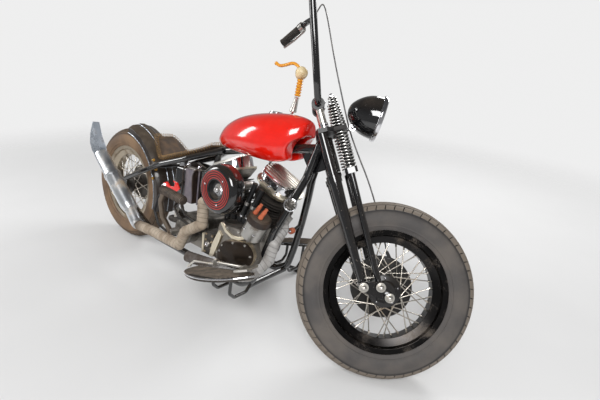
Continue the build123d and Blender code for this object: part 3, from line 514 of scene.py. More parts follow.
# %% Soft boxes
# name: place, aim, width, height, watts
SOFT_BOXES = {
    "key_box": ((1.9, -2.6, 2.9), (0.0, 0.0, 0.5), 1.6, 1.6, 105),
    "side_box": ((-2.9, -1.9, 1.9), (-0.1, 0.0, 0.5), 0.7, 2.2, 45),
    "back_box": ((0.6, 3.0, 2.4), (0.2, 0.0, 0.5), 2.4, 0.8, 60),
}
for name, (at, aim, wide, high, watts) in SOFT_BOXES.items():
    lamp = bpy.data.lights.new(name, "AREA")
    lamp.shape = "RECTANGLE"
    lamp.size, lamp.size_y = wide, high
    lamp.energy = watts
    box_object = bpy.data.objects.new(name, lamp)
    box_object.location = at
    box_object.rotation_euler = (Vector(aim) - Vector(at)).to_track_quat("-Z", "Y").to_euler()
    scene.collection.objects.link(box_object)
    print(name, "gives", watts, "W")
scene.view_settings.view_transform = "Standard"

# %% [markdown]
# ## Which slot a finish belongs to
# The record names the material slots, which a later user may fill with a finish of their own. The
# machine's wear asks for more shades than there are slots, so this table says which finishes are shades of
# one slot. The resin, the bulb and the red lens have no slot.

# %% Material slots
SLOT_FINISHES = {
    "black_enamel": ("black_enamel", "black_gloss", "fender_paint", "pinstriped_black"),
    "black_satin": ("black_satin",),
    "red_paint": ("red_paint",),
    "brown_leather": ("brown_leather", "gold_thong"),
    "chrome": ("chrome", "brass"),
    "steel": ("steel", "blue_steel", "spring_steel", "spoke_metal"),
    "satin_steel": ("satin_steel", "muffler_steel"),
    "cast_alloy": ("cast_alloy", "worn_alloy", "tray_alloy", "dark_cover", "dark_iron", "worn_iron",
                   "rear_rim"),
    "grey_plastic": ("grey_plastic", "dark_plastic"),
    "grey_wrap": ("grey_wrap",),
    "tan_wrap": ("tan_wrap",),
    "rubber": ("rubber", "board_rubber", "brown_rubber", "orange_rubber", "grey_hose"),
    "tyre": ("front_tread",),
    "brown_tyre": ("rear_tread",),
    "black_rim": ("dusty_rim", "hub_black"),
    "lens": ("lens",),
}
slot_of = {finish: slot for slot, finishes in SLOT_FINISHES.items() for finish in finishes}
print(len(slot_of), "finishes share", len(SLOT_FINISHES), "slots")

# %% [markdown]
# ## Mesh helpers
# Three ways of making a rigid piece come up again and again: a profile turned about an axis, a copy of the
# CAD solid with softened edges, and a bar bent along a route. The first two are plain mesh code. All end
# the same way: the mesh is moved to its place, shaded smooth up to its creases, and let ride on its body.

# %% Settling a piece
CREASE = math.radians(34)


def new_object(name, mesh):
    piece = bpy.data.objects.new(name, mesh)
    scene.collection.objects.link(piece)
    return piece


def settle(piece, finish=None, place=MACHINE, body="chassis"):
    """Put the mesh in its place, shade it smooth between its creases, and let it ride on its body."""
    piece.data.transform(place)
    if finish:
        piece.data.materials.clear()
        piece.data.materials.append(finish)
    piece.data.shade_smooth()
    piece.data.set_sharp_from_angle(angle=CREASE)
    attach(piece, body)
    # the CAD has materials of the same names, so Blender numbers these: chrome.001 is chrome
    first_finish = next(used.name for used in piece.data.materials if used).split(".")[0]
    first_finish in slot_of
    print(piece.name, "has", len(piece.data.polygons), "faces and rides on", body)
    return piece


def soften(piece, width):
    """Round the creases with a bevel of that width in millimetres."""
    bevel = piece.modifiers.new("soft_edges", "BEVEL")
    bevel.width = width / 1000
    bevel.segments = 2
    bevel.limit_method = "ANGLE"
    bevel.angle_limit = CREASE
    bevel.harden_normals = True
    return piece


# %% Rings of points, and the faces between them


def polar(reach, y, turn):
    """The point at that turn round the y axis."""
    return reach * math.cos(turn), y, reach * math.sin(turn)


def evenly(count):
    return [math.tau * i / count for i in range(count)]


def bridge(shape, low, high):
    """The faces between two rings of points. A ring of one point is a pole."""
    made = []
    for i in range(max(len(low), len(high))):
        corners = [low[i % len(low)], low[(i + 1) % len(low)],
                   high[(i + 1) % len(high)], high[i % len(high)]]
        corners = list(dict.fromkeys(corners))
        if len(corners) > 2:
            made.append(shape.faces.new(corners))
    return made


def as_object(shape, name):
    """Turn every face outwards and keep the shape as an object."""
    bmesh.ops.recalc_face_normals(shape, faces=shape.faces)
    mesh = bpy.data.meshes.new(name)
    shape.to_mesh(mesh)
    shape.free()
    return new_object(name, mesh)


# %% Turned pieces


def turning(name, profile, finish, place=MACHINE, body="chassis", segments=96, closed=False, edge=0):
    """A profile of (radius, y) turned about the y axis. A radius of 0 is a pole."""
    shape = bmesh.new()
    rings = []
    for radius, y in profile:
        spots = [polar(radius, y, turn) for turn in evenly(segments)] if radius else [(0, y, 0)]
        rings.append([shape.verts.new(spot) for spot in spots])
    for low, high in zip(rings, rings[1:] + (rings[:1] if closed else [])):
        bridge(shape, low, high)
    piece = settle(as_object(shape, name), finish, place, body)
    return soften(piece, edge) if edge else piece


# %% Dressed CAD nodes, and second finishes
DOUBLES_APART, FLAT = 0.00002, math.radians(0.6)


def dressed(node, finish, edge=0.8, worn=None):
    """A merged copy of a CAD node that replaces it. Its soft edges may have a finish of their own."""
    mesh = frame["nodes"][node].data.copy()
    shape = bmesh.new()
    shape.from_mesh(mesh)
    bmesh.ops.remove_doubles(shape, verts=shape.verts, dist=DOUBLES_APART)
    bmesh.ops.dissolve_limit(shape, angle_limit=FLAT, verts=shape.verts, edges=shape.edges)
    bmesh.ops.recalc_face_normals(shape, faces=shape.faces)
    shape.to_mesh(mesh)
    shape.free()
    piece = settle(new_object(node + "_dressed", mesh), finish, IN_PLACE, body_of[node])
    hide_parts(node)
    soften(piece, edge)
    if worn:
        piece.data.materials.append(worn)
        piece.modifiers["soft_edges"].material = 1
    return piece


def repaint(piece, finish, place, chosen):
    """Give another finish to the faces whose centres, measured from place, are chosen."""
    back = place.inverted()
    piece.data.materials.append(finish)
    for face in piece.data.polygons:
        if chosen(back @ face.center):
            face.material_index = len(piece.data.materials) - 1


# %% [markdown]
# ## Recipes in Geometry Nodes
# A recipe is a node tree with named sizes. It grows a piece from a small mesh of points or edges: a bar
# from an edge, a bolt head on each point. The tree ends by making the instances real and setting the
# finish. The result is kept as a plain mesh, so the piece no longer depends on its tree.

# %% The recipe class


class Recipe(Graph):
    """A Geometry Nodes tree whose sizes and finish are named inputs."""

    def __init__(self, name, **sizes):
        super().__init__(bpy.data.node_groups.new(name, "GeometryNodeTree"))
        sockets = self.tree.interface
        for way in ("INPUT", "OUTPUT"):
            sockets.new_socket("Geometry", in_out=way, socket_type="NodeSocketGeometry")
        sockets.new_socket("finish", in_out="INPUT", socket_type="NodeSocketMaterial")
        for size, value in sizes.items():
            kind = "NodeSocketInt" if isinstance(value, int) else "NodeSocketFloat"
            sockets.new_socket(size, in_out="INPUT", socket_type=kind).default_value = value
        self.entry = self.tree.nodes.new("NodeGroupInput")

    def given(self, name="Geometry"):
        return Signal(self, self.entry.outputs[name])

    def swept(self, line, radius, sides):
        """A round section carried along a curve, with closed ends."""
        section = self.node("GeometryNodeCurvePrimitiveCircle",
                            values={"Resolution": sides, "Radius": radius})
        return self.node("GeometryNodeCurveToMesh",
                         values={"Curve": line, "Profile Curve": section, "Fill Caps": True})

    def end(self, geometry):
        real = self.node("GeometryNodeRealizeInstances", values={"Geometry": geometry})
        coated = self.node("GeometryNodeSetMaterial",
                           values={"Geometry": real, "Material": self.given("finish")})
        self.put(self.tree.nodes.new("NodeGroupOutput").inputs["Geometry"], coated)


# %% Growing a piece from a recipe


def grow(name, recipe, mesh, finish, place, body, **sizes):
    """Run a recipe on a mesh, keep the result as a plain mesh, and let it ride."""
    source = new_object(name + "_source", mesh)
    modifier = source.modifiers.new("recipe", "NODES")
    modifier.node_group = recipe.tree
    wanted = {"finish": finish, **sizes}
    for item in recipe.tree.interface.items_tree:
        if item.in_out == "INPUT" and item.name in wanted:
            modifier[item.identifier] = wanted[item.name]
    evaluated = source.evaluated_get(bpy.context.evaluated_depsgraph_get())
    made = bpy.data.meshes.new_from_object(evaluated)
    bpy.data.objects.remove(source)
    made.name = name
    return settle(new_object(name, made), None, place, body)


# %% Recipe: round bars along edges, with rounded corners
BEND_STEPS, NO_BEND = 7, 0.01
bar_recipe = Recipe("bars", thick=1.0, bend=NO_BEND, sides=16)
bar_line = bar_recipe.node("GeometryNodeMeshToCurve", values={"Mesh": bar_recipe.given()})
bar_bends = bar_recipe.node("GeometryNodeFilletCurve", {"mode": "POLY"}, {
    "Curve": bar_line, "Count": BEND_STEPS, "Radius": bar_recipe.given("bend"), "Limit Radius": True})
bar_recipe.end(bar_recipe.swept(bar_bends, bar_recipe.given("thick") / 2, bar_recipe.given("sides")))


def bars(name, routes, finish, place=MACHINE, body="chassis", *, thick, bend=NO_BEND, sides=16):
    """Each route is a list of points: they become the vertices and edges of one mesh."""
    points, edges = [], []
    for route in routes:
        edges += [(len(points) + i, len(points) + i + 1) for i in range(len(route) - 1)]
        points += [tuple(point) for point in route]
    mesh = bpy.data.meshes.new("routes")
    mesh.from_pydata(points, edges, [])
    sizes = {"thick": float(thick), "bend": float(bend), "sides": sides}
    return grow(name, bar_recipe, mesh, finish, place, body, **sizes)


print("the bar recipe has", len(bar_recipe.tree.nodes), "nodes")

# %% Recipe: a coil of wire rising along z
COIL_STEPS, WIRE_SIDES = 36, 14
coil_recipe = Recipe("coil", turns=1.0, low=1.0, high=1.0, height=1.0, wire=1.0)
coil_line = coil_recipe.node("GeometryNodeCurveSpiral", values={
    "Resolution": COIL_STEPS, "Rotations": coil_recipe.given("turns"),
    "Start Radius": coil_recipe.given("low"), "End Radius": coil_recipe.given("high"),
    "Height": coil_recipe.given("height")})
coil_recipe.end(coil_recipe.swept(coil_line, coil_recipe.given("wire") / 2, WIRE_SIDES))
print("the coil recipe has", len(coil_recipe.tree.nodes), "nodes")

# %% Recipe: a washer, a head and a dome on every point, facing along the point's aim
WASHER_WIDER, WASHER_THINNER = 1.3, 0.3
head_recipe = Recipe("heads", radius=1.0, tall=1.0, dome=0.0, sides=6)
head_radius, head_tall = head_recipe.given("radius"), head_recipe.given("tall")
washer = head_recipe.node("GeometryNodeMeshCylinder", values={
    "Vertices": 24, "Radius": head_radius * WASHER_WIDER, "Depth": head_tall * WASHER_THINNER})
head = head_recipe.node("GeometryNodeMeshCylinder", values={
    "Vertices": head_recipe.given("sides"), "Radius": head_radius, "Depth": head_tall * 2})
ball = head_recipe.node("GeometryNodeMeshUVSphere", values={
    "Segments": 20, "Rings": 12, "Radius": head_radius * head_recipe.given("dome")})
lift = head_recipe.node("ShaderNodeCombineXYZ", values={"Z": head_tall})
dome = head_recipe.node("GeometryNodeTransform", values={"Geometry": ball, "Translation": lift})
whole_head = head_recipe.node("GeometryNodeJoinGeometry", values={"Geometry": washer})
for extra in (head, dome):
    head_recipe.tree.links.new(extra.socket, whole_head.socket.node.inputs["Geometry"])
point_aim = head_recipe.node("GeometryNodeInputNamedAttribute", {"data_type": "FLOAT_VECTOR"},
                             {"Name": "aim"})
facing = head_recipe.node("FunctionNodeAlignRotationToVector", {"axis": "Z"}, {"Vector": point_aim})
head_recipe.end(head_recipe.node("GeometryNodeInstanceOnPoints", values={
    "Points": head_recipe.given(), "Instance": whole_head, "Rotation": facing}))


ROUND_HEAD = {"dome": 0.7, "sides": 20}


def heads(name, points, aims, finish, place=MACHINE, body="chassis", *, radius, tall, dome=0.0, sides=6):
    """Bolt heads on points, each facing along its aim. One aim may serve them all."""
    if isinstance(aims, tuple):
        aims = [aims] * len(points)
    mesh = bpy.data.meshes.new(name)
    mesh.from_pydata(points, [], [])
    written = mesh.attributes.new("aim", "FLOAT_VECTOR", "POINT")
    for i, aim in enumerate(aims):
        written.data[i].vector = aim
    sizes = {"radius": float(radius), "tall": float(tall), "dome": float(dome), "sides": sides}
    return grow(name, head_recipe, mesh, finish, place, body, **sizes)


print("the head recipe has", len(head_recipe.tree.nodes), "nodes")

# %% [markdown]
# ## The front brake cable
# It leaves the left lever's perch, bows over the bar and drops beside the springs to the brake arm. It is
# one smooth curve whose control points are the CAD route's, so it is made as a spline and not as runs and
# corners.

# %% Front brake cable
# on the fork, as (f, y, s)
BRAKE_CABLE = [(65.1, 315.2, 1523.3), (102.9, 291.5, 1529.6), (136, 258, 1548), (160, 200, 1546),
               (150, 130, 1440), (124, 84, 1240), (110, 76, 1010), (108, 75, 907), (137, 75, 655),
               (AXLE_F + 60, 72, AXLE_S + 112)]
CABLE_DIAMETER, CABLE_LENGTH = 0.006, 1.278

cable_curve = bpy.data.curves.new("front_brake_cable", "CURVE")
cable_curve.dimensions = "3D"
spline = cable_curve.splines.new("NURBS")
spline.points.add(len(BRAKE_CABLE) - 1)
for control, point in zip(spline.points, BRAKE_CABLE):
    control.co = (*(FORK @ Vector(point)), 1)
spline.order_u = 3
spline.use_endpoint_u = True
cable_curve.resolution_u = 10
cable_curve.bevel_depth = CABLE_DIAMETER / 2
cable_curve.bevel_resolution = 4
cable_curve.use_fill_caps = True
cable_curve.materials.append(grey_hose)
front_cable = new_object("front_brake_hose", cable_curve)
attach(front_cable, "fork")
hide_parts("front_brake_cable")
tuple(FORK @ Vector(BRAKE_CABLE[0]))
print("cable from", [round(v, 3) for v in FORK @ Vector(BRAKE_CABLE[0])])

# %% [markdown]
# ## Tyres
# A motorcycle tyre is a ring of round section. Its tread is cut: a row of shoulder blocks parted by slits,
# a groove beside them, and zigzag grooves on the crown. The cuts could be bump, but they show at the edge
# of the tyre, so they are real. The mesh is a grid whose lines run along the cuts: every station across
# the section has its depth, and every station round the wheel belongs to a block or to a slit.

# %% The tread's stations
SECTION_CENTRE, SECTION_RADIUS, BEAD_ANGLE = 259.6, 62.4, 128
BLOCKS, SLIT_DEPTH, SWAY = 58, 4, 2.4
SLITS_FROM, SLITS_WIDE, SLIT_LEAN, TREAD_END = 37, 20, 1.2, 58
# degrees from the crown, depth of the cut, sway of the zigzag, and whether the slits pass here
ACROSS = [(0, 0, 1, 0), (3, 0, 1, 0), (6.8, 0, 1, 0), (7.5, 4.5, 1, 0), (9.9, 4.5, 1, 0),
          (10.6, 0, 1, 0), (14, 0, 1, 0), (18.6, 0, 1, 0), (19.3, 4.5, 1, 0), (21.9, 4.5, 1, 0),
          (22.6, 0, 1, 0), (27, 0, 0.5, 0), (31.8, 0.3, 0, 0), (32.6, 5, 0, 0), (35.6, 5, 0, 0),
          (36.4, 0.3, 0, 0), (37, 0.2, 0, 1), (43, 0, 0, 1), (49, 0, 0, 1), (54, 0.2, 0, 1),
          (55.5, 1.2, 0, 1), (57, 2.6, 0, 0), (60, 3.2, 0, 0), (66, 2.6, 0, 0), (74, 2, 0, 0),
          (82, 1.6, 0, 0), (90, 1.4, 0, 0), (98, 1.4, 0, 0), (106, 1.6, 0, 0), (110, 1.8, 0, 0),
          (111.5, 0.8, 0, 0), (113.5, 0.8, 0, 0), (115, 2, 0, 0), (121, 1.2, 0, 0), (BEAD_ANGLE, 0, 0, 0)]
# share of a block's pitch, zigzag, and how much of the slit's depth is cut
AROUND = [(0, -1, 0), (0.22, -0.12, 0), (0.45, 0.8, 0), (0.68, 0.28, 0), (0.885, -0.54, 0), (0.9, -0.6, 1),
          (0.985, -0.94, 1)]
print("a tyre has", (2 * len(ACROSS) - 1) * len(AROUND) * BLOCKS, "points")

# %% A tyre as a grid
CUT_SHADE_DEPTH, WALL_WEAR, WALL_SHADE_FROM, WALL_SHADE_STEP = 3, 0.34, 1.9, 0.12


def wear_and_shade_at(angle, cut):
    """1 on the rubbed crown and 0 deep in a cut, which is painted as shade. The walls stay near a third, less in
    their deeper cuts, which are painted darker as shade.
    """
    if abs(angle) < TREAD_END:
        return max(0, 1 - cut / CUT_SHADE_DEPTH)
    return WALL_WEAR - max(0, cut - WALL_SHADE_FROM) * WALL_SHADE_STEP


def tyre(name, place, body, finish):
    """The tread, the walls and a band that closes the ring under the rim."""
    sides = [(-angle, *rest) for angle, *rest in ACROSS[:0:-1]] + ACROSS
    shape = bmesh.new()
    wear_and_shade = shape.verts.layers.float.new("wear_and_shade")
    rings = []
    for block in range(BLOCKS):
        for share, zigzag, slit in AROUND:
            column = []
            for angle, depth, sway, slits in sides:
                across = math.radians(angle + zigzag * sway * SWAY)
                cut = max(depth, SLIT_DEPTH * slit * slits)
                lean = SLIT_LEAN * (abs(angle) - SLITS_FROM) / SLITS_WIDE * slits
                turn = math.radians((block + share) * 360 / BLOCKS + lean)
                out = SECTION_RADIUS - cut
                reach = SECTION_CENTRE + out * math.cos(across)
                vertex = shape.verts.new(polar(reach, out * math.sin(across), turn))
                vertex[wear_and_shade] = wear_and_shade_at(angle, cut)
                column.append(vertex)
            rings.append(column)
    for low, high in zip(rings, rings[1:] + rings[:1]):
        bridge(shape, low, high)
    return settle(as_object(shape, name), finish, place, body)


# %% [markdown]
# ### Tyre rubber
# Dust lies on a tyre's walls and the crown is rubbed by the road. The cuts are painted dark as shade, the
# deeper the darker. Each point of the grid has this one number for wear and painted shade written on it,
# and the finish reads that number, so the colours keep to the blocks.

# %% Tyre rubber, and the two tyres


def tyre_rubber(name, wall, wall_dust, crown, cut_shade):
    finish = Finish(name, Roughness=0.75)
    wear_and_shade = finish.written("wear_and_shade")
    cloud = finish.step(finish.noise(9, 8), 0.32, 0.72)
    shaded = finish.mix(finish.step(wear_and_shade, 0.38, 0.9), finish.mix(cloud, wall, wall_dust), crown)
    # painted shade: the deep cuts take the dark cut colour
    shaded = finish.mix(finish.step(wear_and_shade, 0.3, 0.1), shaded, cut_shade)
    fine = finish.noise(260, 4)
    finish.feed(**{"Base Color": finish.mix(finish.step(fine, 0.55, 0.8) * 0.35, shaded, wall_dust),
                   "Roughness": 0.62 + cloud * 0.25})
    finish.relief(fine, 0.12)
    return finish.material


front_tread = tyre_rubber("front_tread", wall=tint(70, 67, 66), wall_dust=tint(98, 92, 87),
                          crown=tint(113, 103, 92), cut_shade=tint(18, 18, 18))
rear_tread = tyre_rubber("rear_tread", wall=tint(98, 76, 57), wall_dust=tint(134, 108, 82),
                         crown=tint(88, 72, 56), cut_shade=tint(34, 28, 22))
front_ring = tyre("front_tyre_tread", FRONT_WHEEL, "front_wheel", front_tread)
rear_ring = tyre("rear_tyre_tread", REAR_WHEEL, "rear_wheel", rear_tread)
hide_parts("front_tyre")
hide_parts("rear_tyre")

# %% [markdown]
# ## Wire wheels
# A wheel is a rim, a hub, forty spokes and forty nipples. The rim and hub are turned profiles. The spokes
# are bars along straight edges, crossed in pairs as a wheel builder laces them, and each ends in a thicker
# nipple.

# %% Finishes of the wheels
spoke_metal = metal("spoke_metal", tint(214, 208, 198), 0.2, tint(150, 128, 100), 0.25, 300, 0.01)
rear_rim = metal("rear_rim", tint(176, 164, 146), 0.26, tint(112, 90, 66), 0.4, 300, 0.03)
hub_black = paint("hub_black", tint(26, 24, 23), 0.35, tint(90, 88, 84), 0.2, 0.08, coat=0.1)
dusty_rim = metal("dusty_rim", tint(44, 43, 43), 0.2, tint(92, 82, 72), 0.24, 300, 0.03)
print("rims:", dusty_rim.name, rear_rim.name)

# %% Where the spokes run
SPOKES_A_SIDE, LACING, RIM_REACH, RIM_Y = 20, 8, 175, 9
SPOKE_THICK, NIPPLE_THICK, NIPPLE_IN, NIPPLE_OUT = 4.2, 6.8, 13, 3


def spoke_lines(flanges):
    """The two ends of every spoke. flanges: (y, radius) on the left and the right."""
    lines = []
    pitch = 360 / SPOKES_A_SIDE
    for side, (hub_y, hub_reach) in zip((1, -1), flanges):
        for i in range(SPOKES_A_SIDE):
            at_hub = math.radians(i * pitch + pitch / 4 * side)
            at_rim = at_hub + math.radians(LACING * pitch / 2) * (1 if i % 2 else -1)
            ends = polar(hub_reach, hub_y, at_hub), polar(RIM_REACH, side * RIM_Y, at_rim)
            lines.append([Vector(end) for end in ends])
    return lines


# %% Rims, hubs, spokes and nipples
HALF_RIM = [(221, 47), (223.5, 45.5), (223.5, 43.5), (220, 42), (208, 40), (204, 32), (190, 25), (179, 20)]
HALF_WELL = [(172.5, 22), (186, 28), (198, 34.5), (203, 44.5)]
RIM_LIP_FROM = 221.5
FRONT_HUB = [(10.4, 44), (112, 44), (112, 38), (108, 36), (108, 30), (112, 28), (112, 25), (68, 23),
             (64, 18), (60, 14.5), (56, 14.5), (28, 10), (26, -24), (58, -28), (60, -31), (58, -36),
             (40, -42), (34, -56), (10.4, -56)]
REAR_HUB = [(10.4, 78), (106, 78), (106, 46), (96, 40), (34, 34), (30, 20), (30, -26), (56, -30), (58, -34),
            (56, -38), (34, -44), (30, -62), (10.4, -62)]
FRONT_FLANGES, REAR_FLANGES = ((15, 55), (-31, 54)), ((44, 98), (-34, 52))


def mirrored(half):
    return [(reach, -y) for reach, y in half[::-1]]


def wire_wheel(name, place, rim_finish, hub_profile, hub_finish, flanges):
    """A wheel's pieces, riding on the body that has the wheel's name. The hub stands for the CAD's wheel."""
    profile = HALF_RIM + mirrored(HALF_RIM) + mirrored(HALF_WELL) + HALF_WELL
    rim = turning(name + "_rim", profile, rim_finish, place, name, segments=128, closed=True, edge=1.2)
    repaint(rim, satin_steel, place, lambda p: math.hypot(p.x, p.z) > RIM_LIP_FROM)
    lines = spoke_lines(flanges)
    bars(name + "_spokes", lines, spoke_metal, place, name, thick=SPOKE_THICK, sides=12)
    nipples = [(high + (low - high).normalized() * NIPPLE_IN, high + (high - low).normalized() * NIPPLE_OUT)
               for low, high in lines]
    bars(name + "_nipples", nipples, spoke_metal, place, name, thick=NIPPLE_THICK, sides=10)
    hub = turning(name + "_hub", hub_profile, hub_finish, place, name, closed=True, edge=1)
    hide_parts(name)


wire_wheel("front_wheel", FRONT_WHEEL, dusty_rim, FRONT_HUB, hub_black, FRONT_FLANGES)
wire_wheel("rear_wheel", REAR_WHEEL, rear_rim, REAR_HUB, dark_iron, REAR_FLANGES)

# %% [markdown]
# ## Springs
# The springer fork hangs on four coil springs: two long ones under the clamp and two short tapered ones
# over it. A coil is a spiral curve with a round section, which is what a Geometry Nodes spiral gives. Light
# on the outside of the wire and shade between the turns are painted, so each point has written on it how far it
# faces out.

# %% Spring steel


def painted_lit_outside():
    finish = Finish("spring_steel", Metallic=1, Roughness=0.22)
    outward = finish.written("outward")
    # painted light on the side of each turn that faces out, and painted shade between the turns
    lit = finish.step(outward + (finish.noise(120, 3) - 0.5) * 0.4, 0.3, 0.95)
    finish.feed(**{"Base Color": finish.mix(lit, tint(26, 24, 23), tint(222, 220, 216)),
                   "Roughness": 0.5 - lit * 0.28})
    return finish.material


spring_steel = painted_lit_outside()
print("made", spring_steel.name)

# %% Springs
SPRING_F, SPRING_Y, SPRING_NUT_S = 60, 48, 1058
# name: foot, height, turns, radius at the foot and the head, wire
SPRINGS = {"load_spring": (793.5, 133, 11.5, 20.5, 20.5, 7),
           "rebound_spring": (950, 104, 9.5, 22.5, 12.5, 6.6)}


def with_outward(piece, stand):
    """Write how far each point of a coil faces away from the coil's axis: 1 outside, -1 inside."""
    back = stand.inverted()
    turn_back = back.to_3x3().normalized()
    outward = piece.data.attributes.new("outward", "FLOAT", "POINT")
    for i, vertex in enumerate(piece.data.vertices):
        away = back @ vertex.co
        outward.data[i].value = (turn_back @ vertex.normal).dot(Vector((away.x, away.y, 0)).normalized())


for name, (foot, height, turns, low, high, wire) in SPRINGS.items():
    sizes = {"turns": float(turns), "low": float(low), "high": float(high), "height": float(height),
             "wire": float(wire)}
    for side, y in (("left", SPRING_Y), ("right", -SPRING_Y)):
        stand = FORK @ moved(SPRING_F, y, foot)
        no_points = bpy.data.meshes.new("none")
        spring = grow(f"{name}_{side}", coil_recipe, no_points, spring_steel, stand, "fork", **sizes)
        with_outward(spring, stand)
nut_spots = [(SPRING_F, y, SPRING_NUT_S) for y in (-SPRING_Y, SPRING_Y)]
heads("spring_nuts", nut_spots, UP, chrome, FORK, "fork", radius=9, tall=5, dome=0.95)
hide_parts("fork_springs")

# %% [markdown]
# ## Wrapped exhausts
# Heat tape is wound round the pipes, each turn lapping the last, so the pipe has a low spiral step. The
# tube is swept along the pipe's route in mesh code, because its radius has to rise and fall with the
# winding. Each loop also gets its place round and along the pipe as a UV map for the weave.

# %% A route with rounded corners


def rounded_route(points, bend, step):
    """Points along straight runs and tangent arcs, no further apart than step."""
    points = [Vector(point) for point in points]
    marks = [points[0]]
    for before, corner, after in zip(points, points[1:], points[2:]):
        way_in, way_out = (corner - before).normalized(), (after - corner).normalized()
        turn = way_in.angle(way_out)
        cut = bend * math.tan(turn / 2)
        centre = corner + (way_out - way_in).normalized() * bend / math.cos(turn / 2)
        first, last = corner - way_in * cut - centre, corner + way_out * cut - centre
        steps = max(2, math.ceil(bend * turn / step))
        marks += [centre + first.slerp(last, i / steps) for i in range(steps + 1)]
    marks.append(points[-1])
    route = []
    for a, b in zip(marks, marks[1:]):
        runs = max(1, math.ceil((b - a).length / step))
        route += [a.lerp(b, i / runs) for i in range(runs)]
    return route + [marks[-1]]


# %% Sweeping a wound tube
# each lap rises by TAPE_LAP over a turn, and falls LAP_EDGE times as steeply
TAPE_STEP, TAPE_LAP, LAP_EDGE = 1.9, 1.6, 6
PIPE_RADIUS, PIPE_BEND, PIPE_SIDES = 24, 34, 40


def wound_pipe(name, points, finish):
    route = rounded_route(points, PIPE_BEND, TAPE_STEP)
    shape = bmesh.new()
    along_map = shape.loops.layers.uv.new("along")
    side = (route[1] - route[0]).orthogonal().normalized()
    rings, lengths, length = [], [], 0
    for i, here in enumerate(route):
        ahead = (route[min(i + 1, len(route) - 1)] - route[max(i - 1, 0)]).normalized()
        side = (side - ahead * side.dot(ahead)).normalized()
        up = ahead.cross(side)
        length += (here - route[i - 1]).length if i else 0
        loop = []
        for j in range(PIPE_SIDES):
            turn = math.tau * j / PIPE_SIDES
            lap = (length / TAPE_PITCH + j / PIPE_SIDES) % 1
            reach = PIPE_RADIUS - 1 + TAPE_LAP * min(lap, (1 - lap) * LAP_EDGE)
            loop.append(shape.verts.new(here + (side * math.cos(turn) + up * math.sin(turn)) * reach))
        rings.append(loop)
        lengths.append(length)
    for row, (low, high) in enumerate(zip(rings, rings[1:])):
        for j, face in enumerate(bridge(shape, low, high)):
            spots = ((j, row), (j + 1, row), (j + 1, row + 1), (j, row + 1))
            for corner, (around, at) in zip(face.loops, spots):
                corner[along_map].uv = (around / PIPE_SIDES, lengths[at] / 1000)
    shape.faces.new(rings[0][::-1])
    shape.faces.new(rings[-1])
    print(name, "is", round(length), "mm long")
    return settle(as_object(shape, name), finish)


# %% The two exhausts
FRONT_PIPE = [(1156.6, -14.3, 478.7), (1180, -17.8, 467.1), (1186, -44, 428), (1192, -84, 366),
              (1190, -124, 308), (1174, -152, 256), (1138, -176, 210), (1090, -188, 190), (960, -198, 186),
              (780, -202, 198)]
REAR_PIPE = [(842, -112.3, 516.4), (841.3, -172, 514.4), (858, -206, 466), (820, -206, 383),
             (786, -204, 296), (740, -202, 198), (528, -206, 204), (412, -214, 228)]
front_pipe = wound_pipe("front_pipe_wrap", FRONT_PIPE, grey_wrap)
rear_pipe = wound_pipe("rear_pipe_wrap", REAR_PIPE, tan_wrap)
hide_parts("front_exhaust")
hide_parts("rear_exhaust")

# %% [markdown]
# ## The seat
# A thin pan under worn leather, its back kicked up over the fender. The padding is blown up by a short
# cloth simulation: the closed form is remeshed evenly, pressed outwards from inside, and held to a few
# millimetres of movement. The thong that laces the edge is wound on afterwards, because a remesh would eat
# it.

# %% Smooth lines through points


def through(points, count):
    """A smooth line through the points (Catmull-Rom), as count points."""
    points = [Vector(point) for point in points]
    widened = [points[0] * 2 - points[1]] + points + [points[-1] * 2 - points[-2]]
    line = []
    for i in range(count):
        at = i / (count - 1) * (len(points) - 1)
        k = min(int(at), len(points) - 2)
        t = at - k
        a, b, c, d = widened[k:k + 4]
        line.append(((b * 2) + (c - a) * t + (a * 2 - b * 5 + c * 4 - d) * t * t
                     + (b * 3 - a - c * 3 + d) * t ** 3) / 2)
    return line


# %% The seat's closed form
# x, height of the middle, half width
SEAT_LINE = [(268, 652, 58), (300, 628, 76), (345, 589, 94), (378, 564, 104), (412, 564, 112),
             (455, 578, 116), (520, 601, 112), (590, 628, 94), (645, 654, 68), (688, 683, 40)]
SEAT_HALF_THICK, SEAT_EDGE_THICK, SEAT_ROWS, SEAT_COLUMNS = 9.5, 5, 60, 28
SEAT_DISH, SEAT_INSET, SEAT_END_ROWS = 4, 4, 3
# powers that square up the section: below 1, more of the width is flat
SQUARE_ACROSS, SQUARE_UP = 0.55, 0.7


def squared(value, power):
    return math.copysign(abs(value) ** power, value)


def seat_shell():
    """A closed pad: rows along the seat, and round each row over the top and back underneath."""
    line = through(SEAT_LINE, SEAT_ROWS)
    shape = bmesh.new()
    rows = []
    for i, (x, z, half) in enumerate(line):
        ahead = line[min(i + 1, SEAT_ROWS - 1)] - line[max(i - 1, 0)]
        up = Vector((-ahead.y, 0, ahead.x)).normalized()
        end = min(1, min(i, SEAT_ROWS - 1 - i) / SEAT_END_ROWS + 0.25)
        row = []
        for turn in evenly(2 * SEAT_COLUMNS):
            across, rise = squared(math.cos(turn), SQUARE_ACROSS), squared(math.sin(turn), SQUARE_UP)
            thick = (SEAT_EDGE_THICK + (SEAT_HALF_THICK - SEAT_EDGE_THICK) * (1 - across ** 4)) * end ** 0.5
            dish = -SEAT_DISH * (1 - across * across)
            middle = Vector((x, (half - SEAT_INSET) * across, z))
            row.append(shape.verts.new(middle + up * (thick * rise + dish)))
        rows.append(row)
    for low, high in zip(rows, rows[1:]):
        bridge(shape, low, high)
    shape.faces.new(rows[0])
    shape.faces.new(rows[-1])
    piece = as_object(shape, "seat_leather")
    piece.data.transform(MACHINE)
    return piece


# %% Blowing up the padding
PADDING_CAP, PADDING_VOXEL, PADDING_PRESSURE, PADDING_FRAMES = 0.004, 0.005, 4, 20


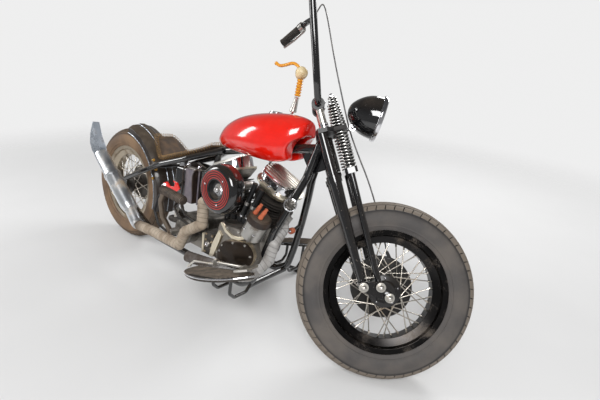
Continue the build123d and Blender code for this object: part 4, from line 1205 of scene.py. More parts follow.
def keep_modifiers(piece):
    """Make the modifiers' result the piece's own mesh."""
    made = bpy.data.meshes.new_from_object(piece.evaluated_get(bpy.context.evaluated_depsgraph_get()))
    piece.modifiers.clear()
    piece.data = made


def blown_up(piece, cap):
    """Press the pad outwards as cloth, then let no point end up further than cap from where it was."""
    start = [vertex.co.copy() for vertex in piece.data.vertices]
    cloth = piece.modifiers.new("padding", "CLOTH")
    cloth.settings.use_pressure = True
    cloth.settings.uniform_pressure_force = PADDING_PRESSURE
    cloth.settings.effector_weights.gravity = 0
    for frame_number in range(1, PADDING_FRAMES + 1):
        scene.frame_set(frame_number)
    keep_modifiers(piece)
    for vertex, home in zip(piece.data.vertices, start):
        shift = vertex.co - home
        if shift.length > cap:
            vertex.co = home + shift * (cap / shift.length)
    scene.frame_set(1)


seat = seat_shell()
remesh = seat.modifiers.new("even", "REMESH")
remesh.mode = "VOXEL"
remesh.voxel_size = PADDING_VOXEL
keep_modifiers(seat)
blown_up(seat, PADDING_CAP)
settle(seat, leather, IN_PLACE)
finer = seat.modifiers.new("finer", "SUBSURF")
finer.levels = finer.render_levels = 1
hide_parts("seat")

# %% [markdown]
# ### The thong round the seat's edge
# One leather thong holds the cover to the pan, laced over the edge all the way round. It is a helix about
# the edge's line. A stitch at a time could be placed as an instance, but one wound line is how the real
# one runs.

# %% Lacing wound round the seat's edge
LACE_PITCH, LACE_THICK, LACE_REACH, LACE_INSET, SPOTS_A_TURN = 13, 2.6, 9.5, 9, 10


def seat_edge():
    """The edge as one line: forward along the right side, round the nose, and back along the left."""
    line = through(SEAT_LINE, SEAT_ROWS)
    right_side = [Vector((x, -(half - LACE_INSET), z)) for x, z, half in line]
    left_side = [Vector((x, half - LACE_INSET, z)) for x, z, half in reversed(line)]
    return right_side + left_side + right_side[:1]


def wound_round(line, reach, pitch):
    """A helix of that reach and pitch round a line."""
    route, gone = [], 0
    for a, b in zip(line, line[1:]):
        run = (b - a).length
        ahead = (b - a).normalized()
        side = ahead.cross(Vector(UP)).normalized()
        up = side.cross(ahead)
        steps = max(1, round(run / pitch * SPOTS_A_TURN))
        for i in range(steps):
            turn = math.tau * (gone + run * i / steps) / pitch
            route.append(a.lerp(b, i / steps) + (side * math.cos(turn) + up * math.sin(turn)) * reach)
        gone += run
    print("lacing round", round(gone), "mm of edge")
    return route


lace = wound_round(seat_edge(), LACE_REACH, LACE_PITCH)
bars("seat_lacing", [lace], thong, thick=LACE_THICK, bend=1, sides=6)

# %% [markdown]
# ## The air cleaner
# A deep black drum on the right of the engine, open in the middle. Its face wears pinstripes: plain rings
# of red paint. The face is a turned piece that knows each point's distance from its centre, and the paint
# reads that distance.

# %% Pinstripes
# in millimetres from the drum's axis
STRIPE_FIRST, STRIPE_PITCH, STRIPES_FROM, STRIPES_TO = 47, 8.6, 43, 76
STRIPE_SHARE, STRIPE_EDGE = 0.145, 0.06


def with_reach(piece, centre_place):
    """Write each point's distance from the turning axis, in millimetres."""
    back = centre_place.inverted()
    reach = piece.data.attributes.new("reach", "FLOAT", "POINT")
    for i, vertex in enumerate(piece.data.vertices):
        x, _, z = back @ vertex.co
        reach.data[i].value = math.hypot(x, z)


def pinstriped():
    finish = Finish("pinstriped_black", Roughness=0.4, **{"Coat Weight": 0.3, "Coat Roughness": 0.2})
    reach = finish.written("reach")
    wave = ((reach - STRIPE_FIRST) / STRIPE_PITCH + 0.5).fraction() - 0.5
    stripe = finish.step(wave.unsigned(), STRIPE_SHARE, STRIPE_SHARE - STRIPE_EDGE)
    stripe = stripe * (reach > STRIPES_FROM) * (reach < STRIPES_TO)
    worn = finish.step(finish.noise(160, 4), 0.62, 0.66)
    stripe = stripe * (1 - worn * 0.5)
    finish.feed(**{"Base Color": finish.mix(stripe, tint(13, 12, 12), tint(214, 36, 22))})
    finish.relief(stripe, 0.15)
    return finish.material


# %% Air cleaner
AIR_CLEANER = MACHINE @ moved(977, 0, 563)
DRUM = [(0, -194), (90, -194), (95, -197), (97, -202), (97, -236), (95.5, -246), (91, -254), (84, -259),
        (78, -261), (78, -240), (0, -240)]
FACE = [(77.9, -240), (77.9, -261), (74, -262), (42, -262), (38.5, -260.5), (37, -257), (37, -240)]
DISH = [(36.9, -256), (36.9, -240), (0, -240), (0, -234), (9, -234), (10, -237), (22, -238), (31, -244),
        (35, -256)]
BOLT_Y, FACE_SCREW_REACH, FACE_SCREW_Y, FACE_SCREW_TURNS = -241, 57, -261.5, (48, 168, 288)

drum = turning("air_cleaner_drum", DRUM, black_gloss, AIR_CLEANER, edge=0.8)
drum_face = turning("air_cleaner_face", FACE, pinstriped(), AIR_CLEANER, closed=True, edge=0.6)
with_reach(drum_face, AIR_CLEANER)
turning("air_cleaner_dish", DISH, black_satin, AIR_CLEANER, segments=64, edge=0.6)
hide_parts("air_cleaner")
heads("air_cleaner_bolt", [(0, BOLT_Y, 0)], RIGHT, chrome, AIR_CLEANER, radius=18, tall=8, dome=0.75)
face_screws = [polar(FACE_SCREW_REACH, FACE_SCREW_Y, math.radians(turn)) for turn in FACE_SCREW_TURNS]
heads("air_cleaner_screws", face_screws, RIGHT, chrome, AIR_CLEANER, radius=4.5, tall=2, **ROUND_HEAD)

# %% [markdown]
# ## The headlight
# A smooth spun bullet on a short stem, a rolled ring of chrome and a fluted glass. Behind the glass the
# real lamp has a bright dish and a bulb, which make it read as a lamp and not as a black plate. All are
# turned about the lamp's own axis, and the bullet's profile is a smooth line through a few points.

# %% Headlight
LAMP_AT, LAMP_DIP = (113, 0, 1010), 4.5
LAMP = FORK @ moved(*LAMP_AT) @ turned(RAKE + LAMP_DIP + 90, "Y") @ turned(90, "X")
LAMP_RIM = [(73.6, 113), (73.6, 124), (77, 129.5), (81, 130), (85, 127.5), (87, 122), (87, 117), (84, 112.6)]
REFLECTOR = [(0, 108.3), (12, 108.4), (14, 109), (40, 110), (60, 111.5), (72, 112.9), (72.8, 112.9),
             (72.8, 108.2), (0, 108.2)]
BULB = [(0, 112.9), (5, 112.4), (8, 110.5), (9, 108.4), (0, 108.4)]
BULLET = [(0, 0), (22, 5), (42, 20), (60, 42), (72, 66), (78, 90), (80, 112)]
SHELL_MOUTH = [(76, 112), (76, 108), (0, 108)]
LAMP_STEM = [(85, 0, 938), (110, 0, 938), (136, 0, 956)]

lamp_rim = turning("lamp_rim", LAMP_RIM, chrome, LAMP, "fork", closed=True, edge=1)
turning("lamp_reflector", REFLECTOR, chrome, LAMP, "fork")
turning("lamp_bulb", BULB, cream, LAMP, "fork", segments=32)
shell_profile = [(0, 0)] + [tuple(point) for point in through(BULLET, 26)[1:]] + SHELL_MOUTH
shell = turning("headlight_shell", shell_profile, black_gloss, LAMP, "fork")
bars("headlight_stem", [LAMP_STEM], black_gloss, FORK, "fork", thick=14, bend=20)
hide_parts("headlight_rim")
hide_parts("headlight")

# %% [markdown]
# ## The hand shift
# A steel lever rises beside the tank. On it sit a tapered bright base, a grip of turned amber rings, an
# egg of cream resin, and a curved amber handle. All but the handle are turned profiles along an axis.

# %% A place along any axis


def along(start, end):
    """A place whose y axis runs from start to end."""
    start, end = Vector(start), Vector(end)
    return Matrix.Translation(start) @ (end - start).to_track_quat("Y", "Z").to_matrix().to_4x4()


# %% Lever, bracket and base
SHIFT_Y = 134
SHIFT_PIVOT, PIVOT_HEAD = (836, SHIFT_Y, 446), (836, 141, 446)
LEVER_TOP, BASE_TOP = (990, SHIFT_Y, 884), (1003, SHIFT_Y, 952)
SHIFT_BRACKET = [(836, 128, 446), (800, 72, 444), (784, 52, 356)]
SHIFT_BASE = [(0, 0), (15, 0), (16.5, 3), (14.5, 16), (11.5, 40), (10, 60), (11.5, 66), (0, 67)]

lever = bars("shift_lever", [[SHIFT_PIVOT, LEVER_TOP]], steel, thick=14)
bars("shift_bracket", [SHIFT_BRACKET], black_enamel, thick=16, bend=20)
heads("shift_pivot", [PIVOT_HEAD], LEFT, steel, radius=10, tall=5)
turning("shift_base", SHIFT_BASE, satin_steel, MACHINE @ along(LEVER_TOP, BASE_TOP), segments=40, edge=1)
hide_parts("hand_shift")

# %% Rings, egg and handle
GRIP_TOP, EGG, EGG_LEAN = (1006, SHIFT_Y, 1024), (1006, SHIFT_Y, 1048), (6, 0, 14)
RINGS, RING_NECK, RING_SHARES = 6, 9.5, (0.04, 0.15, 0.3, 0.5, 0.7, 0.85, 0.96)
EGG_HALF, EGG_RADIUS, EGG_TAPER, EGG_STEPS = 29, 26.5, 0.12, 16
HANDLE = [(1004, SHIFT_Y, 1056), (984, SHIFT_Y, 1076), (954, SHIFT_Y, 1086), (912, SHIFT_Y, 1076),
          (884, SHIFT_Y, 1072), (862, SHIFT_Y, 1080)]
HANDLE_TIP, HANDLE_END = (840, SHIFT_Y, 1088), [(0, -8), (6, -6.5), (8.5, -2), (8.5, 2), (6, 6.5), (0, 8)]


def ring_profile(length):
    """A neck and a swelling for each ring."""
    profile = [(0, 0)]
    for i in range(RINGS):
        for share in RING_SHARES:
            swelling = 10 + 4 * math.sin(math.pi * share)
            reach = RING_NECK if share in (RING_SHARES[0], RING_SHARES[-1]) else swelling
            profile.append((reach, (i + share) * length / RINGS))
    return profile + [(0, length)]


def egg_profile():
    """An ellipse that is fuller towards one end."""
    turns = [math.pi * k / EGG_STEPS for k in range(1, EGG_STEPS)]
    sides = [(EGG_RADIUS * math.sin(turn) * (1 - EGG_TAPER * math.cos(turn)), -EGG_HALF * math.cos(turn))
             for turn in turns]
    return [(0, -EGG_HALF)] + sides + [(0, EGG_HALF)]


rings_length = (Vector(GRIP_TOP) - Vector(BASE_TOP)).length
turning("shift_rings", ring_profile(rings_length), amber, MACHINE @ along(BASE_TOP, GRIP_TOP), segments=40)
turning("shift_egg", egg_profile(), cream, MACHINE @ along(EGG, Vector(EGG) + Vector(EGG_LEAN)), segments=48)
bars("shift_handle", [through(HANDLE, 24)], amber, thick=14)
turning("shift_handle_end", HANDLE_END, amber, MACHINE @ along(HANDLE[-1], HANDLE_TIP), segments=32)

# %% [markdown]
# ## The tank
# Two pressed halves welded over a tunnel, flowed smooth with lead and painted. A voxel remesh of the CAD
# solid and a little smoothing do what the file and the lead do: they round the edges and leave one flowing
# skin.

# %% Fuel tank
TANK_VOXEL, TANK_SMOOTHING = 0.0035, 9

tank = new_object("fuel_tank_skin", frame["nodes"]["fuel_tank"].data.copy())
even = tank.modifiers.new("even", "REMESH")
even.mode, even.voxel_size = "VOXEL", TANK_VOXEL
flow = tank.modifiers.new("flow", "SMOOTH")
flow.factor, flow.iterations = 0.5, TANK_SMOOTHING
keep_modifiers(tank)
settle(tank, red_paint, IN_PLACE)
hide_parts("fuel_tank")

# %% [markdown]
# ## The engine's outside
# The castings are dull and brown, but the crankcase's edges are bright, where the oil and dirt rub off. So
# each casting keeps its CAD form and gets a bevel, which on the crankcase has a finish of its own. The
# rocker covers are polished, their ribs satin, and the trays under them pale.

# %% Rocker covers, one place for each cylinder
CRANK_AT, HALF_V = (946, 0, 250), 22.5
ENGINE = {side: MACHINE @ moved(*CRANK_AT) @ turned(HALF_V * side, "Y") for side in (1, -1)}
# up each cylinder: the tray's foot, front and rear, its rim, the foot of the collar and that of the ribs
TRAY_FROM, TRAY_TO, COLLAR_FROM, RIBS_FROM = {1: 330, -1: 354}, 365, 300, 396
TRAY_REACH = 112
RIB_FIRST, COVER_RIB_PITCH, COVER_RIB_HALF = -67.5, 15, 3.6
SCREW_X, SCREW_Y, SCREW_Z = 44, 85, 364


def on_rib(p):
    off_middle = (p.y - RIB_FIRST) % COVER_RIB_PITCH - COVER_RIB_PITCH / 2
    return p.z > RIBS_FROM and abs(off_middle) < COVER_RIB_HALF


def in_band(low, high):
    return lambda p: low < p.z < high and abs(p.x) < TRAY_REACH


covers = dressed("rocker_boxes", chrome, edge=1.2)
for side, place in ENGINE.items():
    repaint(covers, tray_alloy, place, in_band(TRAY_FROM[side], TRAY_TO))
repaint(covers, cast_alloy, ENGINE[-1], in_band(COLLAR_FROM, TRAY_FROM[-1]))
tray_screws = [(x, y, SCREW_Z) for x in (-SCREW_X, 0, SCREW_X) for y in (-SCREW_Y, SCREW_Y)]
for name, side in (("front", 1), ("rear", -1)):
    repaint(covers, satin_steel, ENGINE[side], on_rib)
    heads("rocker_screws_" + name, tray_screws, UP, chrome, ENGINE[side], radius=4.2, tall=3.5, dome=0.6)

# %% Crankcase, gearbox, primary cover and carburettor
PUMP_FACE_Y, PUMP_FACE_X, PUMP_FACE_TOP = -150, (846, 898), 336


def on_pump_face(p):
    return p.y < PUMP_FACE_Y and PUMP_FACE_X[0] < p.x < PUMP_FACE_X[1] and p.z < PUMP_FACE_TOP


crankcase = dressed("crankcase", cast_alloy, edge=1.6, worn=worn_alloy)
repaint(crankcase, dark_iron, MACHINE, on_pump_face)
for node, finish, edge in (("gearbox", cast_alloy, 1.2), ("primary_cover", black_gloss, 1.2),
                           ("carburettor", steel, 1)):
    dressed(node, finish, edge)

# %% [markdown]
# ### The cam chest
# The right side of the crankcase is closed by a drop-shaped cover with a soft shoulder, screwed down all
# round, and bright where boots have rubbed its rim. It is an outline carried outwards in levels, each a
# little smaller than the last. The same helper makes the thin raised edges beside it.

# %% Slabs


def middle_of(outline):
    return sum((Vector(corner) for corner in outline), Vector((0, 0))) / len(outline)


def slab(name, outline, levels, finish, edge=0):
    """An outline of (x, z) carried along y. Each level is (y, size), size 1 being the outline itself."""
    middle = middle_of(outline)
    shape = bmesh.new()
    rings = []
    for y, size in levels:
        corners = [middle.lerp(Vector(corner), size) for corner in outline]
        rings.append([shape.verts.new((x, y, z)) for x, z in corners])
    for low, high in zip(rings, rings[1:]):
        bridge(shape, low, high)
    shape.faces.new(rings[0])
    shape.faces.new(rings[-1])
    piece = settle(as_object(shape, name), finish)
    return soften(piece, edge) if edge else piece


# %% Cam cover and the edges beside it
CAM_COVER = [(960, 322), (987, 345), (1029, 357), (1069, 369), (1104, 371), (1131, 356), (1143, 332),
             (1139, 306), (1122, 280), (1095, 260), (1050, 246), (1004, 237), (967, 238), (948, 256),
             (947, 290)]
COVER_LEVELS = [(-168, 1), (-185, 1), (-188, 0.98), (-189, 0.95), (-190.5, 0.7), (-193, 0.3), (-193.5, 0.06)]
COVER_RIM_Y, COVER_SCREW_Y, COVER_SCREW_SHARE = -180, -189, 0.86
LIP = [(934, 404), (948, 407), (975, 384), (1010, 372), (1040, 376), (1072, 391), (1084, 383), (1044, 361),
       (1006, 358), (966, 372)]
CHEST_EDGE = [(930, 368), (950, 352), (940, 316), (912, 240), (886, 236), (900, 300)]
PUMP_EDGE = [(828, 322), (844, 326), (845, 236), (834, 232)]
# name: outline, y of its foot and y of its face
CHEST_EDGES = {"chest_lip": (LIP, -166, -176), "chest_edge": (CHEST_EDGE, -166, -178),
               "pump_edge": (PUMP_EDGE, -120, -174)}

cover_line = [tuple(point) for point in through(CAM_COVER + CAM_COVER[:1], 76)[:-1]]
cover = slab("cam_cover_drop", cover_line, COVER_LEVELS, dark_cover)
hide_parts("cam_cover")
repaint(cover, worn_alloy, MACHINE, lambda p: p.y > COVER_RIM_Y)
cover_middle = middle_of(CAM_COVER)
cover_spots = [cover_middle.lerp(Vector(corner), COVER_SCREW_SHARE) for corner in CAM_COVER[::2]]
cover_screws = [(x, COVER_SCREW_Y, z) for x, z in cover_spots]
heads("cam_cover_screws", cover_screws, RIGHT, steel, radius=4.2, tall=3, **ROUND_HEAD)
for name, (outline, foot_y, face_y) in CHEST_EDGES.items():
    slab(name, outline, [(foot_y, 1), (face_y, 1)], tray_alloy, edge=2)

# %% Screws of the cam chest, the oil pump and the kick cover
CHEST_OUTLINE = [(926, 268), (931, 306), (938, 350), (975, 389), (1034, 392), (1090, 370), (1138, 318),
                 (1110, 238)]
CHEST_SCREW_Y, PUMP_BOLT_Y, PUMP_PLUG_Y = -169.5, -171.5, -182
PUMP_X, PUMP_Z, PUMP_BOLT_DX, PUMP_BOLT_DZ = 872, 285, (-19, 19), (-41, -14, 14, 41)
PUMP_BOSS = [(0, -171), (15, -171), (15, -178), (11, -182), (0, -182)]
KICK_COVER, KICK_SCREW_REACH, KICK_SCREW_Y, KICK_SCREW_COUNT = (668, 268), 52, -149.5, 6

chest_screws = [(x, CHEST_SCREW_Y, z) for x, z in CHEST_OUTLINE]
heads("chest_screws", chest_screws, RIGHT, steel, radius=5, tall=3.5, **ROUND_HEAD)
pump_bolts = [(PUMP_X + dx, PUMP_BOLT_Y, PUMP_Z + dz) for dx in PUMP_BOLT_DX for dz in PUMP_BOLT_DZ]
heads("pump_bolts", pump_bolts, RIGHT, worn_alloy, radius=4.4, tall=4)
turning("pump_boss", PUMP_BOSS, cast_alloy, MACHINE @ moved(PUMP_X, 0, PUMP_Z), segments=40, edge=1)
heads("pump_plug", [(PUMP_X, PUMP_PLUG_Y, PUMP_Z)], RIGHT, chrome, radius=6, tall=4, dome=0.8)
kick_ring = [polar(KICK_SCREW_REACH, KICK_SCREW_Y, turn) for turn in evenly(KICK_SCREW_COUNT)]
kick_screws = [(KICK_COVER[0] + x, y, KICK_COVER[1] + z) for x, y, z in kick_ring]
heads("kick_cover_screws", kick_screws, RIGHT, steel, radius=4.4, tall=3, dome=0.7)

# %% [markdown]
# ### Pushrods and magneto
# Four thin tubes cover the pushrods, each with a cap at its foot and a bright collar halfway, where the
# real tube slides open for setting the valves. The magneto makes the sparks: a steel can with a dark cap,
# from which two rubber boots rise. Bars along parts of a line give the one, and turned profiles the other.

# %% Pushrod tubes with their bright collars
# x of the foot, x and z of the head
PUSHRODS = ((1008, 1069, 572), (978, 1032, 588), (940, 888, 599), (908, 867, 590))
PUSHROD_FOOT_Y, PUSHROD_FOOT_Z, PUSHROD_HEAD_Y = -104, 414, -98
COLLAR_SPAN, CAP_SPAN = (0.44, 0.52), (0.13, 0.17)

dressed("pushrods", black_satin, edge=0.6)
collars, caps = [], []
for foot_x, head_x, head_z in PUSHRODS:
    foot, top = Vector((foot_x, PUSHROD_FOOT_Y, PUSHROD_FOOT_Z)), Vector((head_x, PUSHROD_HEAD_Y, head_z))
    collars.append([foot.lerp(top, share) for share in COLLAR_SPAN])
    caps.append([foot.lerp(top, share) for share in CAP_SPAN])
bars("pushrod_collars", collars, steel, thick=25, sides=20)
bars("pushrod_caps", caps, chrome, thick=27, sides=20)

# %% The magneto: a steel can, a dark cap and two rubber boots
MAGNETO_FOOT, MAGNETO_RUN = Vector((1084, -148, 389)), Vector((0.383, 0, 0.924))
MAGNETO = MACHINE @ along(MAGNETO_FOOT, MAGNETO_FOOT + MAGNETO_RUN)
CAN = [(0, 0), (41, 0), (46, 5), (46, 70), (48, 72), (48, 75), (0, 75)]
CAN_CAP = [(0, 75.2), (49, 75.2), (49, 84), (46, 100), (38, 106), (0, 106)]
BOOT = [(0, 0), (10, 0), (10, 9), (8.5, 11), (8.5, 36), (6.5, 44), (6.5, 50), (0, 50)]
# name: how far forward the boot stands
BOOTS = {"rear": -20, "front": 8}
BOOT_FOOT, BOOT_TOP, BOOT_FOOT_Y, BOOT_TOP_Y, BOOT_SPREAD, BOOT_DROP = 103, 150, -16, -12, 6, 0.4
CLIP_REACH, CLIP_Y, CLIP_TURNS = 46.5, 40, (20, 140, 200, 320)

can = turning("magneto_can", CAN, steel, MAGNETO, segments=64, edge=0.8)
turning("magneto_cap", CAN_CAP, dark_plastic, MAGNETO, segments=64, edge=1)
for name, shift in BOOTS.items():
    drop = -shift * BOOT_DROP
    low = MAGNETO_FOOT + MAGNETO_RUN * BOOT_FOOT + Vector((shift, BOOT_FOOT_Y, drop))
    high = MAGNETO_FOOT + MAGNETO_RUN * BOOT_TOP + Vector((shift + BOOT_SPREAD, BOOT_TOP_Y, drop))
    turning("magneto_boot_" + name, BOOT, orange_rubber, MACHINE @ along(low, high), segments=28)
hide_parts("magneto")
clips = [polar(CLIP_REACH, CLIP_Y, math.radians(turn)) for turn in CLIP_TURNS]
clip_aims = [(x, 0, z) for x, _, z in clips]
heads("magneto_screws", clips, clip_aims, chrome, MAGNETO, radius=4, tall=2, dome=0.7)

# %% [markdown]
# ## The kick starter
# The pedal is a ribbed rubber sleeve on a pin, at the end of a cast arm. The ribs are a profile that
# repeats along the pin, so the whole sleeve is one turned piece. The arm is a thick bar bent along its
# route.

# %% Kick starter
PEDAL_FOOT, PEDAL_END, PEDAL_RIBS = Vector((628, -240, 470)), Vector((786, -252, 466)), 17
PEDAL_START = [(0, -2), (17, -2)]
# radius of the sleeve, and the share of a rib's pitch at which it has it
PEDAL_RIB = ((20, 0.08), (20.4, 0.5), (17, 0.62), (17, 0.95))
KICK_ARM = [(632, -190, 262), (600, -214, 330), (604, -232, 410), (640, -240, 466)]

dressed("kick_starter", steel, edge=0.6)
pedal_length = (PEDAL_END - PEDAL_FOOT).length
pedal_pitch = pedal_length / PEDAL_RIBS
pedal_ribs = [(reach, i * pedal_length / PEDAL_RIBS + pedal_pitch * share)
              for i in range(PEDAL_RIBS) for reach, share in PEDAL_RIB]
pedal_stop = [(18, pedal_length + 2), (14, pedal_length + 4), (0, pedal_length + 4)]
turning("kick_pedal_rubber", PEDAL_START + pedal_ribs + pedal_stop, brown_rubber,
        MACHINE @ along(PEDAL_FOOT, PEDAL_END), segments=40)
bars("kick_arm", [KICK_ARM], worn_iron, thick=24, bend=30)

# %% [markdown]
# ## Behind the engine
# In the shade behind the engine lie the rear brake's cylinder with its fitting, and three pipes that leave
# the oil tank, two of them for the pump. How they end can't be seen, so they are drawn as plain bent
# steel.

# %% The brake's cylinder and the oil pipes
CYLINDER_FRONT, CYLINDER_BACK = Vector((622, -128, 302)), Vector((534, -128, 292))
CYLINDER = [(0, 0), (20, 0), (20, 8), (17, 10), (17, 70), (13, 76), (13, 84), (0, 88)]
FITTING_AT, FITTING_TALL = Vector((584, -128, 312)), 46
FITTING = [(0, 0), (11, 0), (11, 14), (7, 16), (7, 30), (10, 32), (10, 42), (5, FITTING_TALL),
           (0, FITTING_TALL)]
OIL_PIPES = [[(600, -70, 404), (606, -124, 376), (690, -158, 356), (770, -160, 346), (852, -150, 330)],
             [(560, -70, 404), (566, -134, 360), (640, -160, 336), (740, -164, 318), (852, -150, 300)],
             [(480, -80, 420), (455, -140, 388), (438, -150, 304), (476, -150, 240), (560, -140, 216),
              (650, -96, 216)]]

turning("brake_cylinder", CYLINDER, dark_iron, MACHINE @ along(CYLINDER_FRONT, CYLINDER_BACK), segments=40,
        edge=1)
turning("brake_fitting", FITTING, satin_steel,
        MACHINE @ along(FITTING_AT, FITTING_AT + Vector((0, 0, FITTING_TALL))), segments=24, edge=0.6)
bars("oil_pipes", OIL_PIPES, black_satin, thick=12, bend=30)

# %% [markdown]
# ## The floorboards
# The boards are plates with ribbed rubber mats and a bright beading round the edge. Their outer edge is an
# arc. Each rib runs until it would leave the outline, less a margin, so the ribs follow any shape of
# board.

# %% Arcs and outlines


def arc(a, b, c, count):
    """Points from a to c on the circle through a, b and c."""
    (ax, ay), (bx, by), (cx, cy) = a, b, c
    a_squared, b_squared, c_squared = ax * ax + ay * ay, bx * bx + by * by, cx * cx + cy * cy
    d = 2 * (ax * (by - cy) + bx * (cy - ay) + cx * (ay - by))
    ux = (a_squared * (by - cy) + b_squared * (cy - ay) + c_squared * (ay - by)) / d
    uy = (a_squared * (cx - bx) + b_squared * (ax - cx) + c_squared * (bx - ax)) / d
    reach = math.hypot(ax - ux, ay - uy)
    start, via, stop = (math.atan2(y - uy, x - ux) for x, y in (a, b, c))
    sweep = (stop - start) % math.tau
    if (via - start) % math.tau > sweep:
        sweep -= math.tau
    turns = [start + sweep * i / count for i in range(count)]
    return [(ux + reach * math.cos(turn), uy + reach * math.sin(turn)) for turn in turns]


def board_outline(side):
    """The inner edge is straight. side: 1 on the left, -1 on the right."""
    back, front, heel = (-150, 228), (150, 228), (-140, 318)
    edge = [back, front] + arc((172, 252), (20, 345), heel, 28) + arc(heel, (-174, 270), back, 10)
    return [(x, side * y) for x, y in edge]


def rib_span(outline, y):
    """Where a line along x at that y enters and leaves the outline."""
    crossings = []
    for (ax, ay), (bx, by) in zip(outline, outline[1:] + outline[:1]):
        if (ay - y) * (by - y) < 0:
            crossings.append(ax + (bx - ax) * (y - ay) / (by - ay))
    return min(crossings), max(crossings)


# %% Floorboards
BOARD_X, BOARD_Z, BOARD_TILT = 1048, 255, 17
BOARD = MACHINE @ moved(BOARD_X, 0, BOARD_Z) @ turned(-BOARD_TILT, "Y")
RIB_COUNT, RIB_FROM, RIB_PITCH, RIB_MARGIN, RIB_THICK, RIB_Z = 12, 240, 8, 9, 5.4, 0.6
BEADING_THICK, BEADING_BEND, BEADING_Z = 7, 4, -3

dressed("floorboards", dark_iron, edge=1)
for name, side in (("left", 1), ("right", -1)):
    outline = board_outline(side)
    ribs = []
    for i in range(RIB_COUNT):
        y = side * (RIB_FROM + i * RIB_PITCH)
        low, high = rib_span(outline, y)
        ribs.append([(low + RIB_MARGIN, y, RIB_Z), (high - RIB_MARGIN, y, RIB_Z)])
    bars("board_ribs_" + name, ribs, board_rubber, BOARD, thick=RIB_THICK, sides=10)
    beading = [(x, y, BEADING_Z) for x, y in outline]
    bars("board_beading_" + name, [beading + beading[:2]], chrome, BOARD, thick=BEADING_THICK,
         bend=BEADING_BEND, sides=10)

# %% [markdown]
# ## Muffler, pedal and horn
# The muffler is a bright megaphone whose fishtail has gone blue with heat, so its faces past a plane get
# another finish. The horn is a pressed disc in a chrome ring, with ribs like the spokes of a fan.

# %% Muffler and brake pedal
MUFFLER_START, MUFFLER_AIM, TAIL_FROM = Vector((334, -215, 287)), Vector((-0.802, 0, 0.597)), 371

muffler = dressed("muffler", muffler_steel)
repaint(muffler, blue_steel, MACHINE, lambda p: (p - MUFFLER_START).dot(MUFFLER_AIM) > TAIL_FROM)
dressed("brake_pedal", satin_steel, edge=1)

# %% Horn
HORN_FACE, HORN_AIM = Vector((1216, -100, 552)), Vector((0.35, -0.9, 0.1)).normalized()
HORN = MACHINE @ along(HORN_FACE, HORN_FACE + HORN_AIM)
HORN_SHELL = [(0, -22), (20, -22), (23, -19), (23.5, -3), (20, -1.5), (16, 0), (12, -1.6), (8, 0.4), (0, 1.5)]
HORN_RING = [(23.4, -4), (26, -3), (26, 1), (22.5, 2), (21, 0.5), (22, -2)]
HORN_RIB_COUNT, HORN_RIB_ENDS = 10, ((14, 0.8), (20.5, -0.6))

horn = turning("horn_shell", HORN_SHELL, dark_iron, HORN, segments=64)
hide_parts("horn")
turning("horn_ring", HORN_RING, chrome, HORN, segments=64, closed=True, edge=0.4)
horn_ribs = [[polar(reach, y, turn) for reach, y in HORN_RIB_ENDS] for turn in evenly(HORN_RIB_COUNT)]
bars("horn_ribs", horn_ribs, steel, HORN, thick=2.4, sides=8)

# %% [markdown]
# ## Battery, oil tank and the red bracket
# A flat battery hangs beside the round oil tank. Its rods and plates are steel, and two leads come down in
# front of it. The tank's filler is chrome. A small red bracket, cut from plate, stands behind the kick
# pedal.

# %% Battery
BATTERY_SEAM, BATTERY_TOP, BATTERY_FACE_Y = (694, 698), 566, -138
BATTERY_NUTS = [(628, -112, 578), (704, -112, 578)]
LONG_LEAD = [(628, -118, 572), (632, -142, 556), (634, -143, 470), (630, -142, 420), (646, -138, 372)]
SHORT_LEAD = [(704, -118, 572), (701, -142, 556), (700, -143, 500), (702, -138, 440)]

battery = dressed("battery", grey_plastic, edge=1)
repaint(battery, dark_plastic, MACHINE, lambda p: BATTERY_SEAM[0] < p.x < BATTERY_SEAM[1])
repaint(battery, steel, MACHINE, lambda p: p.z > BATTERY_TOP or p.y < BATTERY_FACE_Y)
bars("battery_leads", [through(LONG_LEAD, 20), through(SHORT_LEAD, 16)], dark_plastic, thick=7)
heads("battery_nuts", BATTERY_NUTS, UP, chrome, radius=7.5, tall=4.5, dome=0.95)

# %% Oil tank and the red bracket
FILLER, FILLER_RADIUS, FILLER_FROM = (528, -62), 26, 551
BRACKET = [(499, 462), (529, 475), (552, 459), (582, 463), (589, 480), (572, 491), (604, 489), (626, 462),
           (603, 442), (565, 440), (526, 436), (509, 444)]
BRACKET_LEVELS, BRACKET_BOLT = [(-146, 1), (-154, 1)], (512, -154, 453)
BRACKET_STEM = [(576, -84, 484), (598, -149, 466)]

oil_tank = dressed("oil_tank", black_gloss, edge=1)
repaint(oil_tank, chrome, MACHINE,
        lambda p: p.z > FILLER_FROM and math.dist(FILLER, (p.x, p.y)) < FILLER_RADIUS)
slab("red_bracket", BRACKET, BRACKET_LEVELS, red_paint, edge=2.5)
bars("red_bracket_stem", [BRACKET_STEM], black_satin, thick=16)
heads("red_bracket_bolt", [BRACKET_BOLT], RIGHT, chrome, radius=8, tall=6, dome=0.8)

# %% [markdown]
# ## A rubber bush and the rear lamp
# A bracket on the left downtube ends in a rubber bush with a bolt through it. The rear lamp is a chrome
# cup with a red lens whose small cells scatter the light. Both are turned.

# %% The rubber bush on its bracket
BUSH_BRACKET = [(1155, 92, 418), (1152, 62, 404), (1150, 48, 398)]
BUSH = MACHINE @ moved(1150, 36, 397)
BUSH_PROFILE, BUSH_HALF = [(4, -12), (11, -12), (14, -9), (14, 9), (11, 12), (4, 12)], 12

bars("bush_bracket", [BUSH_BRACKET], black_enamel, thick=13, bend=12)
turning("rubber_bush", BUSH_PROFILE, orange_rubber, BUSH, segments=36, closed=True, edge=1)
bush_ends = [(0, -BUSH_HALF, 0), (0, BUSH_HALF, 0)]
heads("bush_bolt", bush_ends, [RIGHT, LEFT], chrome, BUSH, radius=5.4, tall=3.5, dome=0.8)

